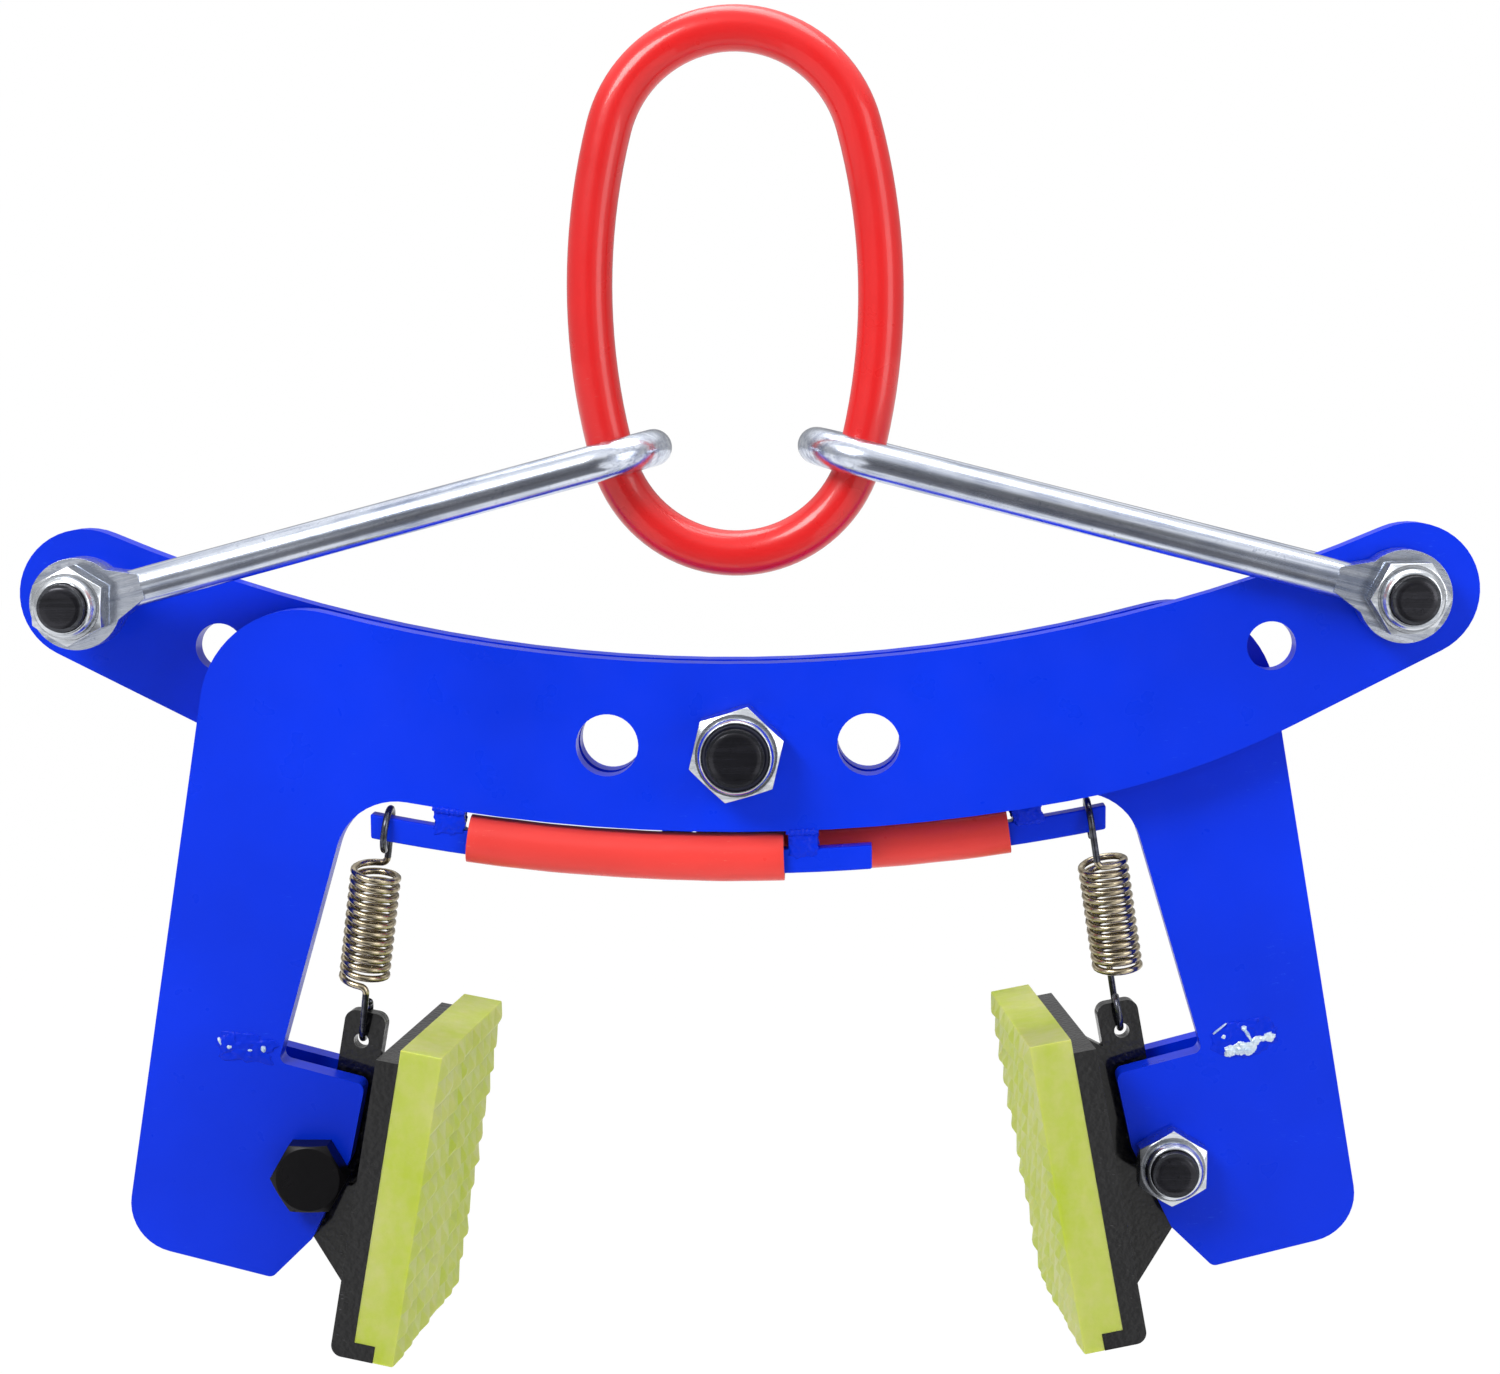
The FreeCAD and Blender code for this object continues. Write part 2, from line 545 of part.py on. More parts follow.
def cylinder(name, radius_cell, height_cell, base_cell="0"):
    piece = doc.addObject("Part::Cylinder", name)
    bind(piece, Radius=radius_cell, Height=height_cell, Placement__Base__z=base_cell)
    return piece


def hexagon(name, flats_cell, height_cell, base_cell, chamfer_up):
    """A hexagon with its corners turned off at one end."""
    prism = doc.addObject("Part::Prism", name + "_prism")
    prism.Polygon = 6
    bind(prism, Circumradius="%s / sqrt(3)" % flats_cell, Height=height_cell, Placement__Base__z=base_cell)
    cone = doc.addObject("Part::Cone", name + "_turning")
    narrow = "%s * %s" % (flats_cell, turned_corner_share)
    wide = "%s + %s * %s" % (narrow, height_cell, turning_slope_share)
    bind(cone, Height=height_cell, Placement__Base__z=base_cell,
         Radius1=wide if chamfer_up else narrow, Radius2=narrow if chamfer_up else wide)
    common = doc.addObject("Part::Common", name + "_hex")
    common.Base = prism
    common.Tool = cone
    return common


def fuse(name, shapes):
    joined = doc.addObject("Part::MultiFuse", name)
    joined.Shapes = shapes
    return joined


def lay_along_y(piece, turned, x_cell, y_cell, z_cell):
    """Lay a turned part along Y: its +Z end points to the front, at the given face."""
    piece.Placement = Placement(Vector(), Rotation(Vector(1, 0, 0), 90))
    sign = "-" if turned else ""
    bind(piece, Placement__Base__x="%s(%s)" % (sign, x_cell), Placement__Base__y=y_cell,
         Placement__Base__z="%s - Sizes.hook_drop" % z_cell)


def make_bolt(name, shank, flats, head, grip_cell, nut_cell, place, head_first=False):
    """A hexagon bolt: head behind zero, shank through the grip and its nut."""
    length = "%s + %s + Sizes.bolt_end" % (grip_cell, nut_cell)
    pieces = [
        hexagon(name + "_head", flats, head, "-(%s)" % head, False),
        cylinder(name + "_shank", "%s / 2" % shank, length),
    ]
    bolt = fuse(name, pieces)
    place(bolt)
    if head_first:
        bolt.Placement = Placement(bolt.Placement.Base, Rotation(Vector(1, 0, 0), -90))
    return keep(bolt, name)


def make_nut(name, shank, flats, nut, place, faces_back=False):
    """A lock nut: a hexagon with a round collar that holds the nylon ring."""
    pieces = [
        hexagon(name + "_wrench", flats, "%s * %s" % (nut, nut_wrench_share), "0", True),
        cylinder(name + "_collar", "%s * %s" % (flats, nut_collar_share), nut),
    ]
    block = fuse(name + "_blank", pieces)
    bore = cylinder(name + "_bore", "%s / 2 + Sizes.bolt_play" % shank, "%s + 2 * Sizes.overrun" % nut,
                    "-Sizes.overrun")
    cut = doc.addObject("Part::Cut", name)
    cut.Base = block
    cut.Tool = bore
    place(cut)
    if faces_back:
        cut.Placement = Placement(cut.Placement.Base, Rotation(Vector(1, 0, 0), -90))
    return keep(cut, name)


def make_ring(name, bore_cell, outer_cell, length_cell, place):
    """A washer or a spacer tube."""
    outer = cylinder(name + "_blank", outer_cell, length_cell)
    bore = cylinder(name + "_bore", bore_cell, "%s + 2 * Sizes.overrun" % length_cell, "-Sizes.overrun")
    cut = doc.addObject("Part::Cut", name)
    cut.Base = outer
    cut.Tool = bore
    place(cut)
    return keep(cut, name)


def make_pivot():
    """The centre bolt, its lock nut at the front and the spacer washer between the arms."""
    back = "Sizes.arm_y + Sizes.plate_thick / 2"
    make_bolt("pivot_bolt", "Sizes.pivot_shank", "Sizes.pivot_flats", "Sizes.pivot_head",
              "Sizes.arm_gap + 2 * Sizes.plate_thick", "Sizes.pivot_nut",
              lambda piece: lay_along_y(piece, False, "0", back, "0"))
    make_nut("pivot_nut", "Sizes.pivot_shank", "Sizes.pivot_flats", "Sizes.pivot_nut",
             lambda piece: lay_along_y(piece, False, "0", "-(%s)" % back, "0"))
    make_ring("pivot_washer", "Sizes.pivot_shank / 2 + Sizes.bolt_play", "Sizes.pivot_washer_radius",
              "Sizes.arm_gap", lambda piece: lay_along_y(piece, False, "0", "Sizes.arm_gap / 2", "0"))


def make_tail_bolt(side, turned):
    """The bolt through a shackle's eyes and an arm's tail, with its nut and spacers."""
    x_cell, z_cell = "-Sizes.tail_hole_x", "Sizes.tail_hole_z"
    half = "(Sizes.shackle_inside / 2 + Sizes.shackle_rod)"
    bore = "Sizes.shank / 2 + Sizes.bolt_play"

    def place_at(y_cell):
        return lambda piece: lay_along_y(piece, turned, x_cell, y_cell, z_cell)

    make_bolt(side + "_shackle_bolt", "Sizes.shank", "Sizes.flats", "Sizes.head",
              "Sizes.shackle_inside + 2 * Sizes.shackle_rod", "Sizes.nut", place_at(half))
    make_nut(side + "_shackle_nut", "Sizes.shank", "Sizes.flats", "Sizes.nut", place_at("-" + half))
    long_gap = "(Sizes.shackle_inside / 2 + Sizes.arm_y - Sizes.plate_thick / 2 - Sizes.shackle_play)"
    thin_gap = "(Sizes.shackle_inside / 2 - Sizes.arm_y - Sizes.plate_thick / 2 - Sizes.shackle_play)"
    # The left tail is the rear arm's, so its long spacer lies in front of the plate
    if turned:
        long_face, thin_face = "Sizes.shackle_inside / 2", "-Sizes.shackle_inside / 2 + %s" % thin_gap
    else:
        long_face, thin_face = "-Sizes.shackle_inside / 2 + %s" % long_gap, "Sizes.shackle_inside / 2"
    make_ring(side + "_long_spacer", bore, "Sizes.spacer_radius", long_gap, place_at(long_face))
    make_ring(side + "_thin_spacer", bore, "Sizes.spacer_radius", thin_gap, place_at(thin_face))


def make_jaw_bolt(side, turned):
    """The bolt on which a pad holder tilts: its head is at the front on the left jaw, behind on the right."""
    grip = "(Sizes.plate_thick + Sizes.jaw_gap + Sizes.cheek_thick)"
    front = "%sSizes.arm_y - Sizes.plate_thick / 2" % ("" if turned else "-")
    back = "%s + %s" % (front, grip)

    def place_at(y_cell):
        return lambda piece: lay_along_y(piece, turned, "-Sizes.jaw_hole_x", y_cell, "-Sizes.jaw_hole_z")

    make_bolt(side + "_jaw_bolt", "Sizes.shank", "Sizes.flats", "Sizes.head", grip, "Sizes.nut",
              place_at(back if turned else front), head_first=not turned)
    make_nut(side + "_jaw_nut", "Sizes.shank", "Sizes.flats", "Sizes.nut",
             place_at(front if turned else back), faces_back=not turned)


# Pad, holder and lug plate are drawn from the jaw bolt: X towards the load, Z up along the pad

def stand_at_jaw(body, turned):
    """Stand a piece at the jaw bolt, with the pad's lean and its turn about the upright."""
    # The front edge of either pad stands outwards, so the turned one turns the other way
    yaw = -size.pad_yaw if turned else size.pad_yaw
    lean = Rotation(Vector(0, 1, 0), size.pad_lean)
    rotation = lean.multiply(Rotation(Vector(0, 0, 1), -yaw))
    stand(body, turned, "-Sizes.jaw_hole_x", jaw_y(turned, "fork_offset"), "-Sizes.jaw_hole_z", rotation)


def make_holder(name, turned):
    """The pad holder: a back plate bent forward under the pad."""
    back = size.holder_face - size.holder_thick
    lip = size.holder_face + size.lip_reach
    body = new_body(name)
    sketch = new_sketch(body, name + "_outline", "XZ_Plane")
    draw_outline(sketch, [
        (back, size.holder_top), (back, -size.holder_foot), (lip, -size.holder_foot),
        (lip, -size.holder_foot + size.lip_thick), (size.holder_face, -size.holder_foot + size.lip_thick),
        (size.holder_face, size.holder_top),
    ])
    plate = pad_plate(body, name + "_plate", sketch, "Sizes.holder_depth")
    round_edges(body, name + "_bend", plate, [(back, -size.holder_foot)], "Sizes.holder_round")
    stand_at_jaw(body, turned)
    return keep(body, name)


def make_lug(name, turned):
    """The lug plate in the fork: round about the bolt, with the spring tab on top and a foot below."""
    back = size.holder_face - size.holder_thick
    low_touch = on_circle((0, 0), size.lug_radius, lug_shares.low_angle)
    high_touch = on_circle((0, 0), size.lug_radius, lug_shares.high_angle)
    side = on_circle((0, 0), size.lug_radius, lug_shares.back_angle)
    body = new_body(name)
    sketch = new_sketch(body, name + "_outline", "XZ_Plane")
    foot = back - size.lug_foot
    draw_outline(sketch, [
        (back, -size.holder_foot + size.holder_round), (back, size.holder_top - size.lug_foot),
        (size.tab_inner, size.tab_hole_up - size.lug_foot), (size.tab_inner, size.tab_top),
        (size.tab_outer, size.tab_top), (size.tab_outer, size.tab_hole_up - lug_shares.tab_neck * size.lug_foot),
        high_touch, (side, low_touch), (foot, -size.holder_foot + size.holder_round),
    ])
    plate = pad_plate(body, name + "_plate", sketch, "Sizes.lug_thick")
    round_edges(body, name + "_tab_round", plate, [(size.tab_inner, size.tab_top), (size.tab_outer, size.tab_top)],
                "Sizes.tab_round")
    holes = new_sketch(body, name + "_holes", "XZ_Plane")
    draw_circle(holes, (0, 0), size.shank / 2 + size.lug_play, "Sizes.shank / 2 + Sizes.lug_play")
    draw_circle(holes, (size.tab_hole_in, size.tab_hole_up), size.tab_hole_radius, "Sizes.tab_hole_radius")
    cut_through(body, name + "_drilled", holes, "Sizes.lug_thick + 2 * Sizes.overrun")
    stand_at_jaw(body, turned)
    return keep(body, name)


def groove(body, name, role, centre, half_width, face, tip, length_cell, count, travel):
    """One V groove across the face, repeated at even steps: crossed sets of them leave pyramids."""
    sketch = new_sketch(body, name + "_profile", role)
    draw_outline(sketch, [(face + tip, centre - 2 * half_width), (face - tip, centre), (face + tip, centre + 2 * half_width)])
    pocket = cut_through(body, name, sketch, length_cell)
    doc.recompute()
    pattern = body.newObject("PartDesign::LinearPattern", name + "_row")
    pattern.Originals = [pocket]
    pattern.Direction = (sketch, ["V_Axis"])
    pattern.Mode = "Extent"
    pattern.Length = travel
    pattern.Occurrences = count
    body.Tip = pattern
    return pattern


def make_pad(name, turned):
    """The toothed pad: a moulded block with a tongue past the lip and pyramids on its face."""
    face = size.holder_face + size.pad_thick
    lip = size.holder_face + size.lip_reach
    body = new_body(name)
    sketch = new_sketch(body, name + "_outline", "XZ_Plane")
    draw_outline(sketch, [
        (size.holder_face, size.pad_top), (size.holder_face, -size.holder_foot + size.lip_thick),
        (lip, -size.holder_foot + size.lip_thick), (lip, -size.holder_foot),
        (face, -size.holder_foot), (face, size.pad_top),
    ])
    pad_plate(body, name + "_block", sketch, "Sizes.holder_depth")
    height = size.pad_top + size.holder_foot
    row_pitch = height / size.tooth_rows
    column_pitch = size.holder_depth / size.tooth_columns
    groove(body, name + "_cross_grooves", "XZ_Plane", -size.holder_foot, row_pitch / 2, face, size.tooth_depth,
           "Sizes.holder_depth + 2 * Sizes.overrun", size.tooth_rows + 1, height)
    groove(body, name + "_upright_grooves", "XY_Plane", -size.holder_depth / 2, column_pitch / 2, face,
           size.tooth_depth, "2 * (Sizes.pad_top + Sizes.holder_foot)", size.tooth_columns + 1, size.holder_depth)
    stand_at_jaw(body, turned)
    return keep(body, name)


# Bumper bar and sleeve are drawn about the centre of the arm's lower edge arc

def arc_point(radius, x):
    """The point of an arc about the lower edge's centre at a distance x from the clamp's middle."""
    return (x, low_arc_centre_z - math.sqrt(radius ** 2 - x ** 2))


def bar_end_x():
    """How far out from the clamp's middle the bumper bar ends."""
    return -arm_corners().armpit[0] - size.bar_end_gap


def make_bumper_bar(name, turned):
    """The bumper bar: an arc under the arm on two stubs that are welded to its lower edge."""
    centre = (0, low_arc_centre_z)
    low = bar_arc_radius + size.bar_height / 2
    high = bar_arc_radius - size.bar_height / 2
    bar_outer = bar_end_x()
    root = size.low_arc_radius + size.weld_gap

    def run(radius, x_from, x_to):
        start, end = arc_point(radius, x_from), arc_point(radius, x_to)
        return (arc_middle(centre, radius, start, end), end)

    outer_stub = (-size.stub_outer - size.stub_width, -size.stub_outer)
    inner_stub = (size.stub_inner, size.stub_inner + size.stub_width)
    body = new_body(name)
    sketch = new_sketch(body, name + "_outline", "XZ_Plane")
    draw_outline(sketch, [
        arc_point(low, -bar_outer), run(low, -bar_outer, size.bar_inner),
        arc_point(high, size.bar_inner), run(high, size.bar_inner, inner_stub[1]),
        arc_point(root, inner_stub[1]), run(root, inner_stub[1], inner_stub[0]),
        arc_point(high, inner_stub[0]), run(high, inner_stub[0], outer_stub[1]),
        arc_point(root, outer_stub[1]), run(root, outer_stub[1], outer_stub[0]),
        arc_point(high, outer_stub[0]), run(high, outer_stub[0], -bar_outer),
    ])
    pad_plate(body, name + "_plate", sketch, "Sizes.bar_thick")
    stand(body, turned, "0", "Sizes.arm_y" if turned else "-Sizes.arm_y", "0")
    return keep(body, name)


def make_sleeve(name, turned):
    """The rubber sleeve on the bumper bar, between its stubs."""
    start = -size.stub_outer + size.sleeve_end_gap
    end = size.stub_inner - size.sleeve_end_gap
    first = math.degrees(math.asin(start / bar_arc_radius))
    last = math.degrees(math.asin(end / bar_arc_radius))
    body = new_body(name)
    section = new_sketch(body, name + "_section", "YZ_Plane")
    draw_circle(section, (0, -bar_arc_radius), size.sleeve_radius, "Sizes.sleeve_radius")
    draw_circle(section, (0, -bar_arc_radius), size.sleeve_bore, "Sizes.sleeve_bore")
    doc.recompute()
    tube = body.newObject("PartDesign::Revolution", name + "_tube")
    tube.Profile = section
    tube.ReferenceAxis = (section, ["H_Axis"])
    tube.Angle = last - first
    tube.Midplane = True
    doc.recompute()
    stand(body, turned, "0", "Sizes.arm_y" if turned else "-Sizes.arm_y",
          "(Sizes.low_arc_radius - Sizes.arm_low)", Rotation(Vector(0, 1, 0), -(first + last) / 2))
    return keep(body, name)


# The spring's wire is one path of arcs and straight runs, swept by the wire's round section

def biarc(start, start_way, end, end_way):
    """Two arcs that join in the middle and leave each end in its given direction."""
    start_way, end_way = Vector(start_way).normalize(), Vector(end_way).normalize()
    gap = end - start
    both = start_way + end_way
    across = gap.dot(both)
    spread = 2 * (1 - start_way.dot(end_way))
    reach = (-across + math.sqrt(across ** 2 + spread * gap.dot(gap))) / spread
    near = start + start_way * reach
    far = end - end_way * reach
    joint = (near + far) / 2
    return [arc_from_tangent(start, start_way, joint), arc_from_tangent(end, end_way * -1, joint, True)]


def arc_from_tangent(start, way, end, backwards=False):
    """The arc from start to end that leaves start along the given way."""
    chord = end - start
    side = chord - way * chord.dot(way)
    side.normalize()
    radius = chord.dot(chord) / (2 * chord.dot(side))
    centre = start + side * radius
    middle = start + end - centre * 2
    middle.normalize()
    middle = centre + middle * radius
    points = (end, middle, start) if backwards else (start, middle, end)
    return Part.Arc(*points).toShape()


def hook_edges(centre_z, radius, plane_y, first, last):
    """An arc of a hook in the plane y = plane_y, from one angle to another about its centre."""
    edges = []
    pieces = max(1, math.ceil(abs(last - first) / 100))
    step = (last - first) / pieces

    def spot(angle):
        return Vector(radius * cos(angle), plane_y, centre_z + radius * sin(angle))

    for index in range(pieces):
        start = first + index * step
        edges.append(Part.Arc(spot(start), spot(start + step / 2), spot(start + step)).toShape())
    return edges


def spring_path(length):
    """The wire's centre line, from the hook at z = length down to the hook at z = 0."""
    radius = size.spring_radius
    coil_top = (length + size.spring_body) / 2
    coil_low = (length - size.spring_body) / 2
    half_turns = round(2 * size.spring_turns)
    drop = size.spring_body / half_turns
    edges = hook_edges(length, top_hook_radius, -size.spring_bend, size.hook_sweep, 0)
    # Leg from the hook down to the coil, then a bend into the first turn
    foot = Vector(top_hook_radius, -size.spring_bend, length)
    bend_start = Vector(radius, -size.spring_bend, coil_top + size.spring_bend)
    edges.append(Part.LineSegment(foot, bend_start).toShape())
    leg_way = bend_start - foot

    def coil_spot(half):
        angle = 180 * half
        return Vector(radius * cos(angle), radius * sin(angle), coil_top - drop * half)

    def coil_way(half):
        angle = 180 * half
        return Vector(-radius * sin(angle), radius * cos(angle), -drop / math.pi)

    edges += biarc(bend_start, leg_way, coil_spot(0), coil_way(0))
    for half in range(half_turns):
        edges += biarc(coil_spot(half), coil_way(half), coil_spot(half + 1), coil_way(half + 1))
    # The last turn ends on the far side and bends down into the lower leg
    last = coil_spot(half_turns)
    end_side = math.copysign(radius, last.x)
    end_y = -math.copysign(size.spring_bend, end_side)
    end_y = -end_y if coil_way(half_turns).y * end_y < 0 else end_y
    leg_start = Vector(end_side, end_y, coil_low - size.spring_bend)
    hook_side = math.copysign(tab_hook_radius, end_side)
    leg_end = Vector(hook_side, end_y, 0)
    edges += biarc(last, coil_way(half_turns), leg_start, leg_end - leg_start)
    edges.append(Part.LineSegment(leg_start, leg_end).toShape())
    if end_side > 0:
        edges += hook_edges(0, tab_hook_radius, end_y, 0, -size.hook_sweep)
    else:
        edges += hook_edges(0, tab_hook_radius, end_y, 180, 180 + size.hook_sweep)
    return edges, end_y


def least_gap(edges):
    """The least distance between parts of the wire that are at least half a turn apart along it."""
    step = size.spring_wire / 2
    spots = []
    for edge in edges:
        spots += edge.discretize(max(2, round(edge.Length / step)) + 1)[:-1]
    skip = round(math.pi * size.spring_radius / step)
    least = min(spot.distanceToPoint(other) for index, spot in enumerate(spots) for other in spots[index + skip:])
    return least - size.spring_wire


def spring_frame(low, high):
    """Directions for a spring from low to high: across the plate, along the plate, and up the spring."""
    up = Vector(high - low).normalize()
    across = Vector(0, 1, 0) - up * up.y
    across.normalize()
    return across, up.cross(across), up


def make_spring(name, turned):
    """A tension spring from the end of the bumper bar to the tab of the lug plate."""
    bar = arc_point(bar_arc_radius, size.spring_hook_inset - bar_end_x())
    high = Vector(bar[0], -arm_y, bar[1])
    lean = Rotation(Vector(0, 1, 0), size.pad_lean)
    yaw = Rotation(Vector(0, 0, 1), size.pad_yaw if turned else -size.pad_yaw)
    strip = Vector(size.tab_hole_in, 0, strip_low + strip_half)
    # Seen from behind, the turned arm's fork lies in front of it
    fork_y = -arm_y - fork_offset if turned else fork_offset - arm_y
    low = Vector(-size.jaw_hole_x, fork_y, -size.jaw_hole_z) + lean.multiply(yaw).multVec(strip)
    across, forward, up = spring_frame(low, high)
    # The hooks lie beside the coil's axis, so the axis moves aside until they meet the hole and the bar
    end_y = spring_path(low.distanceToPoint(high))[1]
    low = low - forward * end_y + up * tab_seat
    high = high + forward * size.spring_bend - up * top_seat
    across, forward, up = spring_frame(low, high)
    edges, _ = spring_path(low.distanceToPoint(high))
    wire = Part.Wire(edges)
    start = wire.Edges[0].valueAt(wire.Edges[0].FirstParameter)
    tangent = wire.Edges[0].tangentAt(wire.Edges[0].FirstParameter)
    section = Part.Wire([Part.Circle(start, tangent, size.spring_wire / 2).toShape()])
    shape = wire.makePipeShell([section], True, False)
    print(name, "least gap between turns %.2f mm" % least_gap(edges),
          "volume %.1f of %.1f mm3" % (shape.Volume, wire.Length * math.pi * size.spring_wire ** 2 / 4))
    spring = doc.addObject("Part::Feature", name)
    spring.Shape = shape
    turn = Rotation(across, forward, up, "ZXY")
    half_turn = Rotation(Vector(0, 0, 1), 180) if turned else Rotation()
    base = half_turn.multVec(low) + Vector(0, 0, -hook_drop)
    spring.Placement = Placement(base, half_turn.multiply(turn))
    return keep(spring, name)


make_link()
make_shackle("left_shackle", False, "Sizes.shackle_play", size.shackle_play)
make_shackle("right_shackle", True, "Sizes.open_crown_play", size.open_crown_play)
make_arm("front_arm", False)
make_arm("rear_arm", True)
make_pivot()
for jaw_side, is_turned in (("left", False), ("right", True)):
    make_tail_bolt(jaw_side, is_turned)
    make_cheek(jaw_side + "_jaw_cheek", is_turned)
    make_block(jaw_side + "_jaw_block", is_turned)
    make_jaw_bolt(jaw_side, is_turned)
    make_holder(jaw_side + "_pad_holder", is_turned)
    make_lug(jaw_side + "_lug_plate", is_turned)
    make_pad(jaw_side + "_grip_pad", is_turned)
    make_spring(jaw_side + "_spring", is_turned)
for arm_name, is_turned in (("front", False), ("rear", True)):
    make_bumper_bar(arm_name + "_bumper_bar", is_turned)
    make_sleeve(arm_name + "_bumper_sleeve", is_turned)

doc.recompute()
faults = [thing.Name for thing in doc.Objects if "Invalid" in thing.State or "Error" in thing.State]
for part in parts:
    if part.Shape.isNull() or not part.Shape.isValid():
        faults.append(part.Label)
if faults:
    raise SystemExit("failed: " + ", ".join(faults))
os.makedirs("parts", exist_ok=True)
for part in parts:
    part.Shape.exportStep("parts/%s.step" % part.Label)
print(len(parts), "pieces")
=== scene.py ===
# %% [markdown]
# # Scissor lifting clamp: the visual model
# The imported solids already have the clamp's shape.

# %% Load the frame
import json
import math
import random

import bmesh
import bpy
from mathutils import Matrix, Vector
from mathutils import noise as lumps


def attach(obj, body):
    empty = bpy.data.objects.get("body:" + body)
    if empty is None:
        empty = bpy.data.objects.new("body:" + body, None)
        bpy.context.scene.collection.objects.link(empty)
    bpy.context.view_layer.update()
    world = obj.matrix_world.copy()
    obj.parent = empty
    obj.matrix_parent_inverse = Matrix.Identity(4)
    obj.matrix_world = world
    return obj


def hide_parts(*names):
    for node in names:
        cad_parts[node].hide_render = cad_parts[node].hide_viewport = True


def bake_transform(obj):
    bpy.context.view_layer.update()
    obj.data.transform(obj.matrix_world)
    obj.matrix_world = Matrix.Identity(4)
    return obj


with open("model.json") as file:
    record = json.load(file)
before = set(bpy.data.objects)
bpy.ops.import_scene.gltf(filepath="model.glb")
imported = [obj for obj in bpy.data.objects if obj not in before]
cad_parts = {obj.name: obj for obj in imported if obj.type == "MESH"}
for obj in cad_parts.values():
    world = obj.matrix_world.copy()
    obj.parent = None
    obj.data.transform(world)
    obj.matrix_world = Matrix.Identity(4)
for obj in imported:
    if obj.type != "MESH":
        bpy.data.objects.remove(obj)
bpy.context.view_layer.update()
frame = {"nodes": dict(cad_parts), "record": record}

# %% [markdown]
# ## Working in millimetres from the centre bolt
# The row frame starts at the hook seat and is in metres. A fitter measures this clamp in millimetres
# from the centre bolt, so the pieces below are modelled that way and moved to the row frame at the end.
# The rear arm's plate lies one ARM_STEP behind the front arm's: its thickness and a washer.

# %% Measures shared by several pieces
MM = 0.001
HOOK_DROP = 242.65
JAW_BOLT = Vector((154.0, 0.0, -152.0))
TAIL_BOLT = Vector((229.0, 0.0, 54.0))
FRONT_FACE = -13.0
ARM_STEP = 16.0
JAW_MIDDLE = {"left": 3.5, "right": 3.5 + ARM_STEP}
TO_ROW_FRAME = Matrix.Translation((0, 0, -HOOK_DROP * MM)) @ Matrix.Scale(MM, 4)
FULL_TURN = 2 * math.pi
print("centre bolt in the row frame:", TO_ROW_FRAME @ Vector((0, 0, 0)))

# %% [markdown]
# ## Shader helpers
# A node tree is easier to read when each line adds one node and names its result. These helpers add a
# noise, a range, a sum or a mix, and hand back the socket to wire on.


# %% Nodes in one line each
def noise_node(tree, vector, scale, detail=3.0, roughness=0.55):
    node = tree.nodes.new("ShaderNodeTexNoise")
    node.inputs["Scale"].default_value = scale
    node.inputs["Detail"].default_value = detail
    node.inputs["Roughness"].default_value = roughness
    tree.links.new(vector, node.inputs["Vector"])
    return node.outputs["Fac"]


def stretched(tree, vector, scale):
    node = tree.nodes.new("ShaderNodeMapping")
    node.inputs["Scale"].default_value = scale
    tree.links.new(vector, node.inputs["Vector"])
    return node.outputs["Vector"]


def ranged(tree, value, low, high, to_low=0.0, to_high=1.0):
    node = tree.nodes.new("ShaderNodeMapRange")
    numbers = (("From Min", low), ("From Max", high), ("To Min", to_low), ("To Max", to_high))
    for label, number in numbers:
        node.inputs[label].default_value = number
    tree.links.new(value, node.inputs["Value"])
    return node.outputs["Result"]


def worked(tree, operation, first, second):
    """The sum, product or the like of two sockets or numbers."""
    node = tree.nodes.new("ShaderNodeMath")
    node.operation = operation
    for index, value in enumerate((first, second)):
        if isinstance(value, float):
            node.inputs[index].default_value = value
        else:
            tree.links.new(value, node.inputs[index])
    return node.outputs[0]


def blended(tree, factor, first, second):
    """A colour between two others."""
    node = tree.nodes.new("ShaderNodeMix")
    node.data_type = "RGBA"
    sockets = [socket for socket in node.inputs if socket.enabled]
    for socket, value in zip(sockets, (factor, first, second)):
        if isinstance(value, (float, tuple)):
            socket.default_value = value
        else:
            tree.links.new(value, socket)
    return [socket for socket in node.outputs if socket.enabled][0]


def screen_colour(red, green, blue):
    """A colour as a screen shows it, 0 to 255, in the linear values that a shader takes."""
    shares = [value / 255 for value in (red, green, blue)]
    linear = [share / 12.92 if share <= 0.04045 else ((share + 0.055) / 1.055) ** 2.4 for share in shares]
    return (*linear, 1.0)


print("mid grey on a screen is", round(screen_colour(128, 128, 128)[0], 3), "to a shader")

# %% [markdown]
# ## One group for each kind of surface
# A node group is built once and used by many materials with their own colours. It hands out only
# colours, masks and heights. The Principled shader stays in the material, where an exporter finds it.


# %% A new group with named sockets
def start_group(name, colours):
    group = bpy.data.node_groups.new(name, "ShaderNodeTree")
    group.interface.new_socket(name="Vector", in_out="INPUT", socket_type="NodeSocketVector")
    for label in colours:
        group.interface.new_socket(name=label, in_out="INPUT", socket_type="NodeSocketColor")
    group.interface.new_socket(name="Grain", in_out="INPUT", socket_type="NodeSocketFloat")
    for label, kind in (("Colour", "Color"), ("Roughness", "Float"), ("Height", "Float")):
        group.interface.new_socket(name=label, in_out="OUTPUT", socket_type="NodeSocket" + kind)
    print("group:", name, "takes", ", ".join(colours))
    return group, group.nodes.new("NodeGroupInput").outputs, group.nodes.new("NodeGroupOutput").inputs


# %% [markdown]
# ## Sprayed paint
# Gloss paint on plate is never flat. It has an orange peel skin a millimetre or two across, slow
# changes of tone, dust that the spray caught, and fine scuffs where chains and stones rubbed it.


